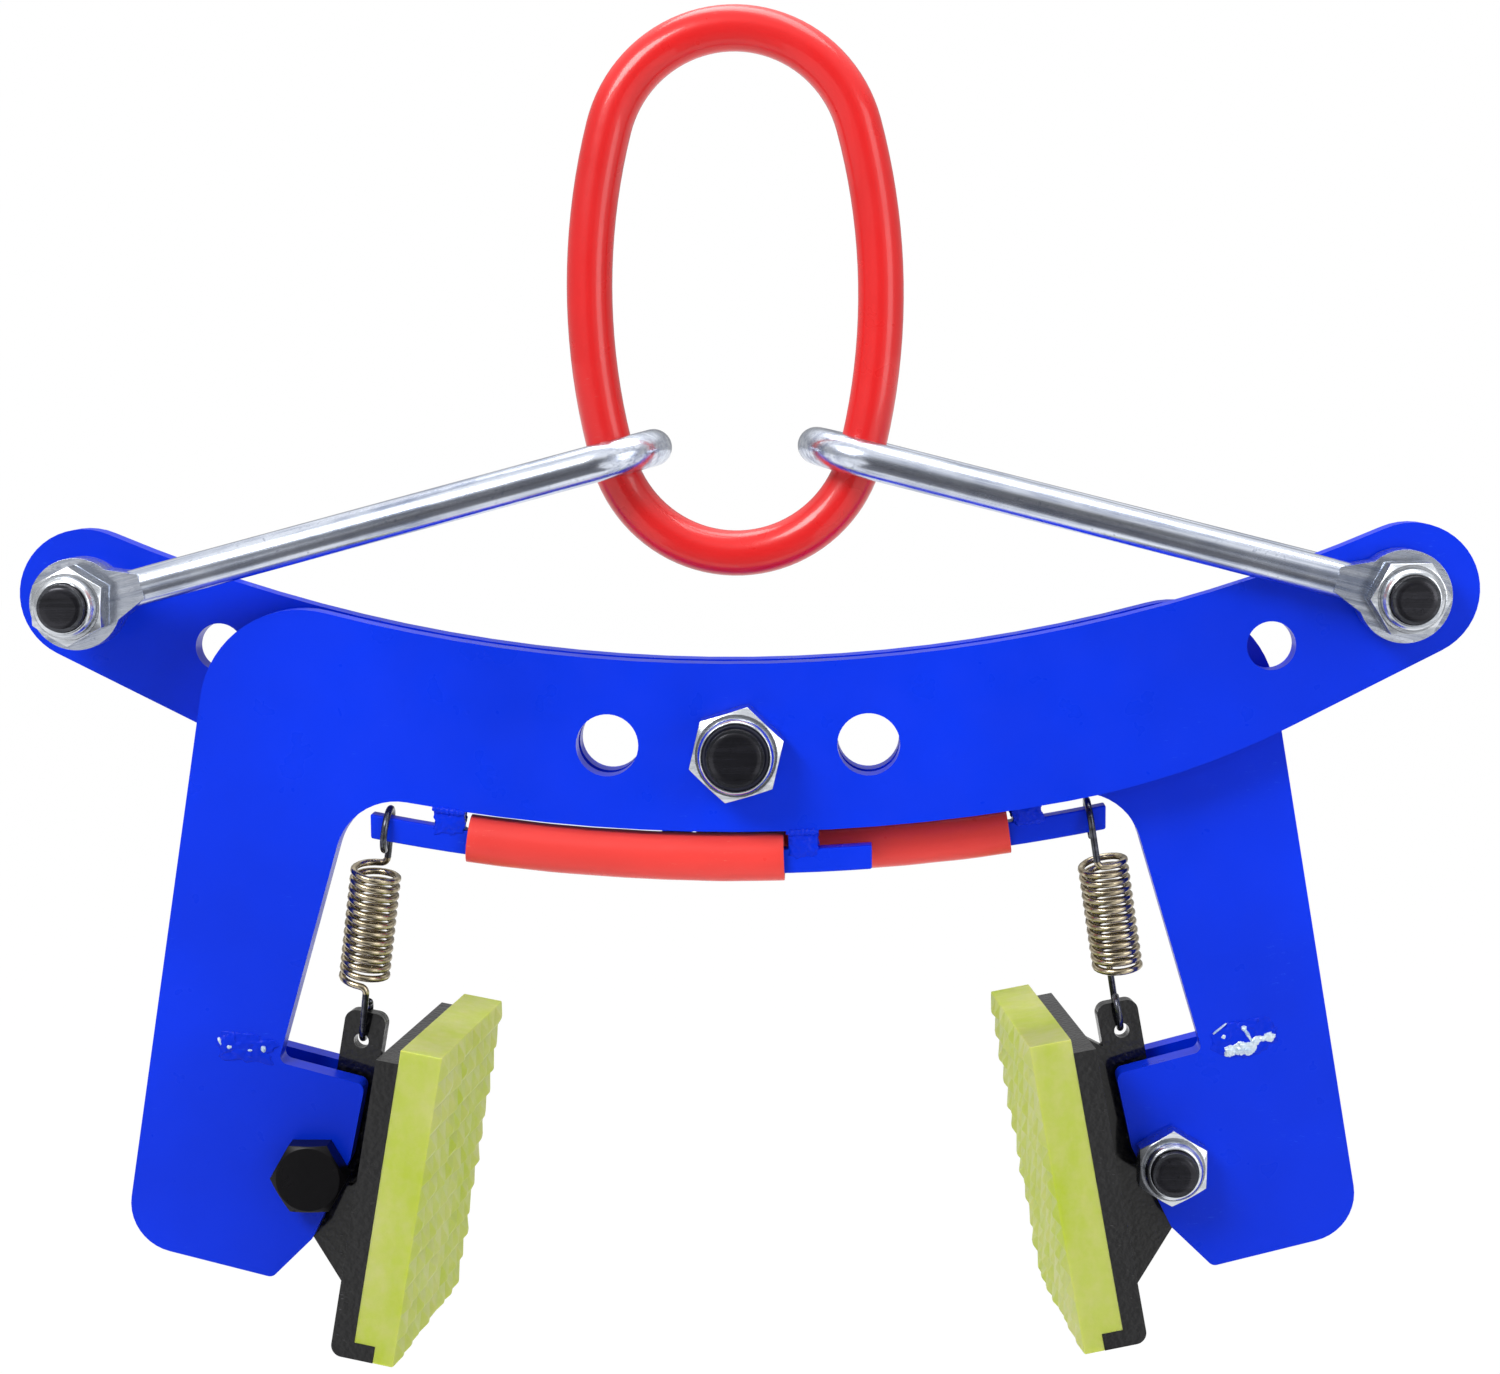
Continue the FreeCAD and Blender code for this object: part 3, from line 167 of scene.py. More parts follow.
# %% Paint group
def paint_group():
    group, given, result = start_group("Sprayed paint", ("Colour", "Scuffed"))
    vector = given["Vector"]
    tone = ranged(group, noise_node(group, vector, 9.0), 0.3, 0.7, 0.0, 0.22)
    sprayed = blended(group, tone, given["Colour"], (0.0, 0.0, 0.0, 1.0))
    scratch = noise_node(group, stretched(group, vector, (240.0, 240.0, 1100.0)), 1.0, 4.0, 0.7)
    where = ranged(group, noise_node(group, vector, 30.0, 2.0), 0.58, 0.70)
    scuff = worked(group, "MULTIPLY", ranged(group, scratch, 0.62, 0.72, 0.0, 0.5), where)
    group.links.new(blended(group, scuff, sprayed, given["Scuffed"]), result["Colour"])
    gloss = ranged(group, noise_node(group, vector, 60.0), 0.3, 0.7, 0.26, 0.38)
    duller = worked(group, "MULTIPLY", scuff, 0.4)
    group.links.new(worked(group, "ADD", gloss, duller), result["Roughness"])
    peel = noise_node(group, stretched(group, vector, (520.0, 520.0, 520.0)), 1.0, 1.5, 0.4)
    waves = worked(group, "MULTIPLY", noise_node(group, vector, 70.0, 1.0), 2.0)
    nibs = ranged(group, noise_node(group, vector, 300.0, 0.0), 0.80, 0.86, 0.0, 1.5)
    skin = worked(group, "MULTIPLY", worked(group, "ADD", peel, nibs), given["Grain"])
    group.links.new(worked(group, "ADD", skin, waves), result["Height"])
    return group


PAINT = paint_group()

# %% [markdown]
# ## Bright zinc
# Zinc plate over drawn bar shows the die lines along the bar and a cloudy, slightly blue bloom. The
# lines run along one axis of the piece, so the same noise is stretched along that axis.


# %% Zinc group
def zinc_group():
    group, given, result = start_group("Bright zinc", ("Light", "Dark"))
    vector = given["Vector"]
    lines = noise_node(group, stretched(group, vector, (14.0, 420.0, 420.0)), 1.0, 4.0, 0.65)
    cloud = noise_node(group, vector, 60.0, 3.0)
    pits = noise_node(group, vector, 520.0, 3.0, 0.7)
    bloom = ranged(group, cloud, 0.30, 0.70, 0.3, 1.0)
    mottle = worked(group, "MULTIPLY", ranged(group, lines, 0.38, 0.62), bloom)
    specks = worked(group, "MULTIPLY", ranged(group, pits, 0.56, 0.70, 0.0, 0.6), given["Grain"])
    mottle = worked(group, "MAXIMUM", mottle, specks)
    group.links.new(blended(group, mottle, given["Light"], given["Dark"]), result["Colour"])
    group.links.new(ranged(group, lines, 0.3, 0.7, 0.16, 0.30), result["Roughness"])
    relief = worked(group, "ADD", lines, worked(group, "MULTIPLY", pits, 0.8))
    group.links.new(relief, result["Height"])
    return group


ZINC = zinc_group()

# %% [markdown]
# ## Cast urethane
# The pads are poured resin: cloudy and a little milky inside, with a dull skin from the mould. Most of
# the look is light that enters and comes out again, so the colour stays soft and the bump low.


# %% Urethane group
def urethane_group():
    group, given, result = start_group("Cast urethane", ("Clear", "Milky"))
    vector = given["Vector"]
    cloud = noise_node(group, stretched(group, vector, (38.0, 38.0, 16.0)), 1.0, 4.0, 0.6)
    mottle = noise_node(group, vector, 210.0, 3.0, 0.6)
    clouded = ranged(group, cloud, 0.36, 0.66, 0.0, 0.75)
    milk = worked(group, "ADD", clouded, ranged(group, mottle, 0.4, 0.7, 0.0, 0.3))
    group.links.new(blended(group, milk, given["Clear"], given["Milky"]), result["Colour"])
    dull = ranged(group, noise_node(group, vector, 120.0), 0.3, 0.7, 0.34, 0.52)
    group.links.new(dull, result["Roughness"])
    skin = worked(group, "MULTIPLY", noise_node(group, vector, 380.0, 3.0), given["Grain"])
    group.links.new(skin, result["Height"])
    return group


URETHANE = urethane_group()

# %% [markdown]
# ## From group to material
# Each finish is one call: a group, its colours, how deep its relief is in millimetres, and the plain
# numbers of the shader. Those numbers go straight on the shader's own sockets. The Mapping node does
# nothing yet. It is there to turn the pattern on a piece that lies at an angle.


# %% Material maker
def finish_of(name, group, colours, relief, grain=1.0, **shader):
    material = bpy.data.materials.new(name)
    material.use_nodes = True
    tree = material.node_tree
    principled = tree.nodes["Principled BSDF"]
    pattern = tree.nodes.new("ShaderNodeGroup")
    pattern.node_tree = group
    pattern.inputs["Grain"].default_value = grain
    turned = tree.nodes.new("ShaderNodeMapping")
    tree.links.new(tree.nodes.new("ShaderNodeTexCoord").outputs["Object"], turned.inputs["Vector"])
    tree.links.new(turned.outputs["Vector"], pattern.inputs["Vector"])
    for label, value in colours.items():
        pattern.inputs[label].default_value = screen_colour(*value)
    bump = tree.nodes.new("ShaderNodeBump")
    bump.inputs["Strength"].default_value = 1.0
    bump.inputs["Distance"].default_value = relief * MM
    tree.links.new(pattern.outputs["Height"], bump.inputs["Height"])
    tree.links.new(pattern.outputs["Colour"], principled.inputs["Base Color"])
    tree.links.new(pattern.outputs["Roughness"], principled.inputs["Roughness"])
    tree.links.new(bump.outputs["Normal"], principled.inputs["Normal"])
    for label, value in shader.items():
        principled.inputs[label.replace("_", " ")].default_value = value
    return material


# %% [markdown]
# ## The finishes of this clamp
# Blue plate, a red link, black holders and red rubber are all the paint pattern with other colours.
# Weld beads get the same paint with a coarser skin.

# %% Painted and rubber finishes
blue_paint = finish_of("Blue paint", PAINT, {"Colour": (0, 54, 240), "Scuffed": (60, 110, 250)}, 0.035,
                       Specular_IOR_Level=0.18)
blue_weld = finish_of("Blue paint on weld", PAINT, {"Colour": (0, 50, 232), "Scuffed": (90, 150, 255)},
                      0.12, 3.0, Specular_IOR_Level=0.15)
red_paint = finish_of("Red paint", PAINT, {"Colour": (240, 30, 31), "Scuffed": (214, 90, 80)}, 0.03,
                      Coat_Weight=0.35, Coat_Roughness=0.05, Specular_IOR_Level=0.40)
black_paint = finish_of("Black paint", PAINT, {"Colour": (5, 5, 8), "Scuffed": (120, 120, 126)}, 0.22, 3.0,
                        Coat_Weight=0.6, Coat_Roughness=0.08, Specular_IOR_Level=0.20)
black_oxide = finish_of("Black oxide", PAINT, {"Colour": (16, 15, 18), "Scuffed": (70, 66, 62)}, 0.04,
                        Metallic=0.3, Specular_IOR_Level=0.25)
red_rubber = finish_of("Red rubber", PAINT, {"Colour": (250, 70, 64), "Scuffed": (244, 130, 110)}, 0.05,
                       Sheen_Weight=0.15, Specular_IOR_Level=0.25)
print("painted and rubber finishes:", len(bpy.data.materials))

# %% [markdown]
# The metal finishes are the zinc pattern from bright to nearly black. Nylon and urethane share the
# cast pattern, and only the urethane lets light in.

# %% Metal and cast finishes
zinc_bar = finish_of("Zinc on bar", ZINC, {"Light": (224, 230, 242), "Dark": (142, 152, 176)}, 0.02,
                     Metallic=1.0)
zinc_nut = finish_of("Zinc on nuts", ZINC, {"Light": (224, 228, 234), "Dark": (160, 166, 174)}, 0.02, 0.4,
                     Metallic=1.0)
dark_steel = finish_of("Dark bolt steel", ZINC, {"Light": (96, 98, 104), "Dark": (44, 46, 50)}, 0.03,
                       Metallic=0.9)
blackened_end = finish_of("Blackened bolt end", ZINC, {"Light": (50, 50, 56), "Dark": (18, 18, 22)}, 0.05,
                          Metallic=0.6)
spring_steel = finish_of("Spring wire", ZINC, {"Light": (196, 184, 158), "Dark": (84, 70, 50)}, 0.01,
                         Metallic=1.0)
# Painted shade: the spring's hooks are the same wire as the coil, given this darker finish.
painted_shade_wire = finish_of("Wire end with painted shade", ZINC, {"Light": (96, 98, 108), "Dark": (40, 40, 46)}, 0.01,
                      Metallic=0.9)
bare_weld = finish_of("Bare weld", ZINC, {"Light": (232, 244, 250), "Dark": (150, 186, 226)}, 0.15,
                      Metallic=0.2)
nylon = finish_of("Nylon ring", URETHANE, {"Clear": (32, 34, 52), "Milky": (52, 54, 74)}, 0.02)
urethane = finish_of("Urethane", URETHANE, {"Clear": (182, 200, 48), "Milky": (202, 206, 124)}, 0.10,
                     Subsurface_Weight=0.6, Subsurface_Scale=0.005, Subsurface_Radius=(0.8, 0.7, 0.25))
print("finishes so far:", len(bpy.data.materials))

# %% [markdown]
# ## Finishes on the solids
# The record names a material slot for every solid. Each slot gets one finish from above.

# %% Dress the solids
SLOT_FINISHES = {
    "red_paint": red_paint, "blue_paint": blue_paint, "black_paint": black_paint, "zinc_bar": zinc_bar,
    "zinc_plate": zinc_nut, "bolt_steel": dark_steel, "black_bolt": black_oxide, "spring_wire": spring_steel,
    "red_rubber": red_rubber, "urethane": urethane,
}
for part in frame["record"]["subparts"]:
    solid = frame["nodes"][part["node"]]
    solid.data.materials.clear()
    solid.data.materials.append(SLOT_FINISHES[part["material_slot"]])

# %% [markdown]
# The die lines of the zinc pattern run along x. Both shackles slope, so each gets a copy of the bar's
# finish, and its Mapping node turns the pattern onto its own bar.

# %% Zinc along each shackle
SHACKLE_SLOPE = 14.6
for side, lean in (("left", SHACKLE_SLOPE), ("right", -SHACKLE_SLOPE)):
    turned_zinc = zinc_bar.copy()
    turned_zinc.name = "Zinc on " + side + " bar"
    mapping = [node for node in turned_zinc.node_tree.nodes if node.type == "MAPPING"][0]
    mapping.inputs["Rotation"].default_value = (0, math.radians(lean), 0)
    frame["nodes"][side + "_shackle"].data.materials[0] = turned_zinc
    print(turned_zinc.name, "leans", lean, "degrees")

# %% [markdown]
# ## Edges that have been dressed
# Plate is cut, its edges are ground, and paint rounds them further. A Bevel modifier does this
# without touching the solid's own mesh. Weld joins the loose triangles first, and Weighted Normal
# keeps the big flats flat in the shading.

# %% Bevels on the solids
JOIN_WITHIN = 0.002
EDGE_ANGLE = 28
EDGE_WIDTHS = {
    "_arm": 0.6, "_cheek": 0.6, "_block": 0.6, "_bar": 0.6, "_holder": 0.8, "_lug_plate": 0.6,
    "_shackle": 2.2, "_bolt": 0.3, "_nut": 0.3, "_washer": 0.3, "_spacer": 0.3,
}


def bevel_corners(piece, title, width, degrees):
    """Round every edge that turns by more than these degrees."""
    bevel = piece.modifiers.new(title, "BEVEL")
    bevel.width = width * MM
    bevel.segments = 2
    bevel.limit_method = "ANGLE"
    bevel.angle_limit = math.radians(degrees)


def dress_edges(solid, width):
    weld = solid.modifiers.new("Join triangles", "WELD")
    weld.merge_threshold = JOIN_WITHIN * MM
    bevel_corners(solid, "Dressed edge", width, EDGE_ANGLE)
    even = solid.modifiers.new("Even shading", "WEIGHTED_NORMAL")
    even.weight = 100
    for face in solid.data.polygons:
        face.use_smooth = True


for node, solid in frame["nodes"].items():
    for ending, width in EDGE_WIDTHS.items():
        if node.endswith(ending):
            dress_edges(solid, width)
print("dressed:", sum(bool(solid.modifiers) for solid in frame["nodes"].values()), "solids")

# %% [markdown]
# ## From bmesh to piece
# Every new piece is a bmesh in millimetres until the last moment. Here it moves to the row frame, gets its
# normals checked, its finish and the body it rides on. A piece that joins two bodies has None for its body.


# %% Piece maker
def piece_from(mesh, name, finish, body, replaced=(), place=Matrix()):
    bmesh.ops.transform(mesh, matrix=TO_ROW_FRAME @ place, verts=mesh.verts)
    bmesh.ops.recalc_face_normals(mesh, faces=mesh.faces)
    data = bpy.data.meshes.new(name)
    mesh.to_mesh(data)
    mesh.free()
    piece = bpy.data.objects.new(name, data)
    bpy.context.scene.collection.objects.link(piece)
    for face in data.polygons:
        face.use_smooth = True
    data.materials.append(finish)
    if body:
        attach(piece, body)
    if replaced:
        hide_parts(*replaced)
    print(f"{name}: {len(data.polygons)} faces on {body or 'two bodies'}")
    return piece


def kind_of(made, kind):
    """Only the vertices, edges or faces of an operator's result."""
    return [item for item in made if isinstance(item, kind)]


def keep_flats_flat(piece):
    """Shade by the large faces, so that a rounded edge doesn't tint the flat beside it."""
    piece.modifiers.new("Even shading", "WEIGHTED_NORMAL")


# %% [markdown]
# ## Rings that are pushed and spun
# Wire, hose and weld beads are one circle carried along. A spin carries it round an axis, and with a
# rise per step it makes a helix. An extrusion carries it straight on.


# %% Circle, spin and push
def ring_at(mesh, centre, facing, radius, sides):
    """A circle of edges round centre, square to facing."""
    turn = Vector(facing).to_track_quat("Z", "Y").to_matrix().to_4x4()
    place = Matrix.Translation(centre) @ turn
    made = bmesh.ops.create_circle(mesh, segments=sides, radius=radius, matrix=place)
    return list({edge for vert in made["verts"] for edge in vert.link_edges})


def spin_on(mesh, edges, centre, axis, degrees, steps, rise=(0, 0, 0)):
    """Spin edges onwards and return the last ones, ready for the next operation."""
    made = bmesh.ops.spin(mesh, geom=edges, cent=centre, axis=axis, dvec=rise,
                          angle=math.radians(degrees), steps=steps, use_merge=False)
    return kind_of(made["geom_last"], bmesh.types.BMEdge)


def push_on(mesh, edges, shift):
    """Extrude edges in a straight line and return the last ones."""
    made = bmesh.ops.extrude_edge_only(mesh, edges=edges)["geom"]
    bmesh.ops.translate(mesh, vec=shift, verts=kind_of(made, bmesh.types.BMVert))
    return kind_of(made, bmesh.types.BMEdge)


# %% [markdown]
# ## Springs
# A spring winder turns straight wire on a mandrel and bends a hook at each end. The model is made the
# same way, from the bar's hook down to the tab's hook. A curve with a bevel would also work, but its
# bends are harder to place, and here each bend is one spin with its own centre.

# %% Wind one spring
WIRE_RADIUS = 1.25
COIL = {"radius": 8.0, "body": 42.0, "turns": 12.5, "bend": 2.4}
BAR_HOOK, TAB_HOOK = 7.486, 6.670
HOOK_SWEEP = 250
STEPS_PER_TURN = 24
HOOK_STEPS = 20
BEND_STEPS = 5
WIRE_SIDES = 10
PAINTED_SHADE_FROM_COIL = 3.0


def wind_spring(mesh, length):
    """Wire from the bar's hook at z = length down to the tab's hook at z = 0."""
    radius, bend = COIL["radius"], COIL["bend"]
    top, low = (length + COIL["body"]) / 2, (length - COIL["body"]) / 2
    start = math.radians(HOOK_SWEEP)
    first = Vector((math.cos(start), 0, math.sin(start))) * BAR_HOOK + Vector((0, -bend, length))
    wire = ring_at(mesh, first, (math.sin(start), 0, -math.cos(start)), WIRE_RADIUS, WIRE_SIDES)
    bmesh.ops.edgeloop_fill(mesh, edges=wire)
    wire = spin_on(mesh, wire, (0, -bend, length), (0, 1, 0), HOOK_SWEEP, HOOK_STEPS)
    wire = push_on(mesh, wire, (radius - BAR_HOOK, 0, top + bend - length))
    wire = spin_on(mesh, wire, (radius, 0, top + bend), (1, 0, 0), 90, BEND_STEPS)
    steps = round(COIL["turns"] * STEPS_PER_TURN)
    drop = (0, 0, -COIL["body"] / steps)
    wire = spin_on(mesh, wire, (0, 0, 0), (0, 0, 1), 360 * COIL["turns"], steps, drop)
    wire = spin_on(mesh, wire, (-radius, 0, low - bend), (1, 0, 0), 90, BEND_STEPS)
    wire = push_on(mesh, wire, (radius - TAB_HOOK, 0, bend - low))
    wire = spin_on(mesh, wire, (0, -bend, 0), (0, -1, 0), HOOK_SWEEP, HOOK_STEPS)
    bmesh.ops.edgeloop_fill(mesh, edges=wire)
    # Faces past the coil take the second finish, painted shade on the hooks.
    for face in mesh.faces:
        height = face.calc_center_median().z
        in_coil = low - PAINTED_SHADE_FROM_COIL < height < top + PAINTED_SHADE_FROM_COIL
        face.material_index = 0 if in_coil else 1


# %% [markdown]
# The spring leans from the tab up to the bar, so its own upright is turned onto the line between them.
# Its hooks are the same wire as the coil and take a second, darker finish: painted shade.

# %% Both springs
LEFT_TAB_HOOK = Vector((-138.591, 2.680, -99.462))
LEFT_BAR_HOOK = Vector((-127.442, -7.918, -27.971))


def spring_ends(side):
    """The centres of the tab's hook and of the bar's hook."""
    if side == "left":
        return LEFT_TAB_HOOK, LEFT_BAR_HOOK
    return [Vector((-end.x, end.y + ARM_STEP, end.z)) for end in (LEFT_TAB_HOOK, LEFT_BAR_HOOK)]


def spring_place(side):
    low, high = spring_ends(side)
    up = (high - low).normalized()
    back = Vector((0, 1 if side == "left" else -1, 0))
    across = (back - up * back.dot(up)).normalized()
    turn = Matrix((across, up.cross(across), up)).transposed().to_4x4()
    return Matrix.Translation(low) @ turn


for side, body in (("left", "front_arm"), ("right", "rear_arm")):
    low, high = spring_ends(side)
    mesh = bmesh.new()
    wind_spring(mesh, (high - low).length)
    spring = piece_from(mesh, side + "_wound_spring", spring_steel, None, (side + "_spring",),
                        spring_place(side))
    spring.data.materials.append(painted_shade_wire)
    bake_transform(spring)

# %% [markdown]
# ## Grip pads
# A pad is one casting: a block with a tongue over the holder's lip, and rows of blunt teeth on its
# face. The block is extruded from its side outline, as a moulder would draw it.

# %% Pad block
PAD = {"back": 33.0, "face": 50.0, "teeth": 2.3, "depth": 98.0, "top": 59.0, "foot": 52.5,
       "lip_reach": 7.5, "lip_thick": 6.0, "rows": 12, "columns": 8}


def cast_block(mesh):
    """The pad's body with a plain face; returns that face."""
    base, lip = PAD["face"] - PAD["teeth"], PAD["back"] + PAD["lip_reach"]
    shelf = PAD["lip_thick"] - PAD["foot"]
    outline = [(PAD["back"], PAD["top"]), (PAD["back"], shelf), (lip, shelf), (lip, -PAD["foot"]),
               (base, -PAD["foot"]), (base, PAD["top"])]
    corners = [mesh.verts.new((u, -PAD["depth"] / 2, w)) for u, w in outline]
    side = mesh.faces.new(corners)
    made = bmesh.ops.extrude_face_region(mesh, geom=[side])["geom"]
    bmesh.ops.translate(mesh, vec=(0, PAD["depth"], 0), verts=kind_of(made, bmesh.types.BMVert))
    bmesh.ops.recalc_face_normals(mesh, faces=mesh.faces)
    return max(mesh.faces, key=lambda face: face.normal.x * face.calc_center_median().x)


row_pitch = (PAD["top"] + PAD["foot"]) / PAD["rows"]
print("tooth pitch, mm:", round(row_pitch, 1), "by", PAD["depth"] / PAD["columns"])

# %% [markdown]
# The face is cut into a grid with bisect_plane, and each field is pushed out and made smaller. Inset
# would give each tooth a flat rim, which these lack.

# %% Teeth
TIP_SHARES = (0.06, 0.22)
TOOTH_REACH = (0.68, 1.0)
TIP_ASIDE, TIP_DOWN = (-0.9, 0.9), (-2.0, 0.3)


def cut_grid(mesh, face):
    """Cut the face into one field for each tooth."""
    fields = [face]
    height = PAD["top"] + PAD["foot"]
    levels = [height * row / PAD["rows"] - PAD["foot"] for row in range(1, PAD["rows"])]
    planes = [((0, 0, level), (0, 0, 1)) for level in levels]
    for column in range(1, PAD["columns"]):
        planes.append(((0, PAD["depth"] * (column / PAD["columns"] - 0.5), 0), (0, 1, 0)))
    for spot, facing in planes:
        region = set(fields)
        for field in fields:
            region.update(field.edges)
            region.update(field.verts)
        made = bmesh.ops.bisect_plane(mesh, geom=list(region), plane_co=spot, plane_no=facing)["geom"]
        fields = kind_of(made, bmesh.types.BMFace)
    return fields


def push_teeth(mesh, fields, dice):
    """Push each field out to a blunt pyramid; no two teeth of a casting are quite alike."""
    for field in bmesh.ops.extrude_discrete_faces(mesh, faces=fields)["faces"]:
        centre = Matrix.Translation(-field.calc_center_median())
        tip = (1, dice.uniform(*TIP_SHARES), dice.uniform(*TIP_SHARES))
        bmesh.ops.scale(mesh, vec=tip, space=centre, verts=field.verts)
        reach = PAD["teeth"] * dice.uniform(*TOOTH_REACH)
        drift = (reach, dice.uniform(*TIP_ASIDE), dice.uniform(*TIP_DOWN))
        bmesh.ops.translate(mesh, vec=drift, verts=field.verts)


def round_outward_edges(mesh, width, degrees):
    """Bevel the edges that stand out. The grooves between the teeth stay sharp, as the mould leaves them."""
    sharp = [edge for edge in mesh.edges if edge.calc_face_angle_signed(0) > math.radians(degrees)]
    bmesh.ops.bevel(mesh, geom=sharp, offset=width, offset_type="OFFSET", segments=2, profile=0.5,
                    affect="EDGES", material=-1, clamp_overlap=True)


# %% [markdown]
# The jaw's own axes lean and turn with the holder, so a pad is modelled upright and placed at the end.
# Its teeth are shaded flat, because smooth shading would melt them together.

# %% Both pads
PAD_LEAN, PAD_YAW = 10.1, 5.1


def jaw_place(side):
    """The jaw's axes from its bolt: x towards the load, y along the pad, z up the pad."""
    hand = 1 if side == "left" else -1
    bolt = Vector((-hand * JAW_BOLT.x, JAW_MIDDLE[side], JAW_BOLT.z))
    lean = Matrix.Rotation(math.radians(PAD_LEAN), 4, "Y")
    yaw = Matrix.Rotation(math.radians(-hand * PAD_YAW), 4, "Z")
    half_turn = Matrix.Rotation(0 if side == "left" else math.pi, 4, "Z")
    return Matrix.Translation(bolt) @ half_turn @ lean @ yaw


for side in ("left", "right"):
    mesh = bmesh.new()
    push_teeth(mesh, cut_grid(mesh, cast_block(mesh)), random.Random(side))
    round_outward_edges(mesh, width=0.5, degrees=15)
    pad = piece_from(mesh, side + "_moulded_pad", urethane, side + "_pad", (side + "_grip_pad",),
                     jaw_place(side))
    for face in pad.data.polygons:
        face.use_smooth = False

# %% [markdown]
# ## Rubber sleeves
# Each bumper bar wears a length of hose, cut square with a knife. The bar squeezes it up against the
# arm, so it is a little taller than it is wide. Two circles, outside and bore, are spun round the
# centre of the bar's arc, their ends are bridged, and the wall gets slow waves by noise.

# %% One hose
ARC_CENTRE = Vector((0, 0, 611.1))
LOW_EDGE_RADIUS = 640.0
BAR_RADIUS = 651.0
BAR_Y = -8.0
SLEEVE = {"outer": 7.7, "bore": 6.3, "start": -96.0, "end": 16.0, "taller": 0.13, "lift": 1.3,
          "wave": 0.16, "sunk": 0.08, "waves_along": 0.07, "waves_round": 0.8}
HOSE_SIDES, HOSE_STEPS = 28, 44


def arc_spot(radius, x, y):
    """A point on one of the arcs that the arm and its bumper bar share."""
    return Vector((x, y, ARC_CENTRE.z - math.sqrt(radius ** 2 - x ** 2)))


def make_hose(mesh):
    start = arc_spot(BAR_RADIUS, SLEEVE["start"], BAR_Y)
    sweep = math.asin(SLEEVE["end"] / BAR_RADIUS) - math.asin(SLEEVE["start"] / BAR_RADIUS)
    out = start - ARC_CENTRE
    for radius in (SLEEVE["outer"], SLEEVE["bore"]):
        ring = ring_at(mesh, start, (-out.z, 0, out.x), radius, HOSE_SIDES)
        spin_on(mesh, ring, (0, BAR_Y, ARC_CENTRE.z), (0, -1, 0), math.degrees(sweep), HOSE_STEPS)
        bmesh.ops.recalc_face_normals(mesh, faces=mesh.faces)
    middle = (SLEEVE["start"] + SLEEVE["end"]) / 2
    ends = [edge for edge in mesh.edges if edge.is_boundary]
    for is_left in (True, False):
        rims = [edge for edge in ends if (edge.verts[0].co.x < middle) == is_left]
        bmesh.ops.bridge_loops(mesh, edges=rims)
        bmesh.ops.recalc_face_normals(mesh, faces=mesh.faces)


def squeeze_hose(mesh, seed):
    for vert in mesh.verts:
        away = vert.co - arc_spot(BAR_RADIUS, vert.co.x, BAR_Y)
        unit = away.normalized()
        round_it = unit * SLEEVE["waves_round"]
        wave = lumps.noise(Vector((vert.co.x * SLEEVE["waves_along"], round_it.y + seed, round_it.z)))
        vert.co += unit * (SLEEVE["wave"] * wave - SLEEVE["sunk"])
        vert.co.z += away.z * SLEEVE["taller"] + SLEEVE["lift"]


for arm, seed, turn in (("front", 2.0, 0), ("rear", 9.0, math.pi)):
    mesh = bmesh.new()
    make_hose(mesh)
    squeeze_hose(mesh, seed)
    round_outward_edges(mesh, width=0.3, degrees=60)
    hose = piece_from(mesh, arm + "_rubber_hose", red_rubber, arm + "_arm",
                      (arm + "_bumper_sleeve",), Matrix.Rotation(turn, 4, "Z"))
    keep_flats_flat(hose)

# %% [markdown]
# ## Lock nuts
# A lock nut starts as hexagon bar. A lathe chamfers its corners, and a domed collar is rolled over the
# nylon ring. The hexagon is an extruded circle of six sides, and the chamfer is cut with bisect_plane
# from many directions, which is as near to a cone as the eye can tell.


# %% Hexagon with chamfered corners
CHAMFER = {"cuts": 36, "starts_at": 0.48, "steepness": 1.8}


def chamfered_hexagon(mesh, flats, height):
    bmesh.ops.create_circle(mesh, cap_ends=True, segments=6, radius=flats / math.sqrt(3))
    made = bmesh.ops.extrude_face_region(mesh, geom=mesh.faces[:])["geom"]
    bmesh.ops.translate(mesh, vec=(0, 0, height), verts=kind_of(made, bmesh.types.BMVert))
    for step in range(CHAMFER["cuts"]):
        turn = math.radians(360 / CHAMFER["cuts"] * step)
        out = Vector((math.cos(turn), math.sin(turn), 0))
        for face_z, way in ((height, 1), (0, -1)):
            everything = mesh.verts[:] + mesh.edges[:] + mesh.faces[:]
            spot = out * flats * CHAMFER["starts_at"] + Vector((0, 0, face_z))
            bmesh.ops.bisect_plane(mesh, geom=everything, plane_co=spot, clear_outer=True,
                                   plane_no=out + Vector((0, 0, CHAMFER["steepness"] * way)))
            rims = [edge for edge in mesh.edges if edge.is_boundary]
            bmesh.ops.holes_fill(mesh, edges=rims, sides=0)


# %% [markdown]
# The collar, the nylon ring and the bolt's end are lathe work, so each is a profile spun once round the
# bolt. The thread is a small circle spun with a rise.


# %% Turned parts and thread
TURNING_STEPS = 48
MERGE_WITHIN = 0.004
THREAD = {"radius": 0.55, "pitch": 1.5, "turns": 1.35, "sides": 8, "steps": 36}


def turn_profile(mesh, profile, closed):
    """Spin a profile of radius and height about z. A closed one makes a ring."""
    corners = [mesh.verts.new((radius, 0, height)) for radius, height in profile]
    pairs = list(zip(corners, corners[1:] + corners[:1]))
    edges = [mesh.edges.new(pair) for pair in (pairs if closed else pairs[:-1])]
    bmesh.ops.spin(mesh, geom=corners + edges, cent=(0, 0, 0), axis=(0, 0, 1), dvec=(0, 0, 0),
                   angle=FULL_TURN, steps=TURNING_STEPS, use_merge=True)
    bmesh.ops.remove_doubles(mesh, verts=mesh.verts, dist=MERGE_WITHIN)


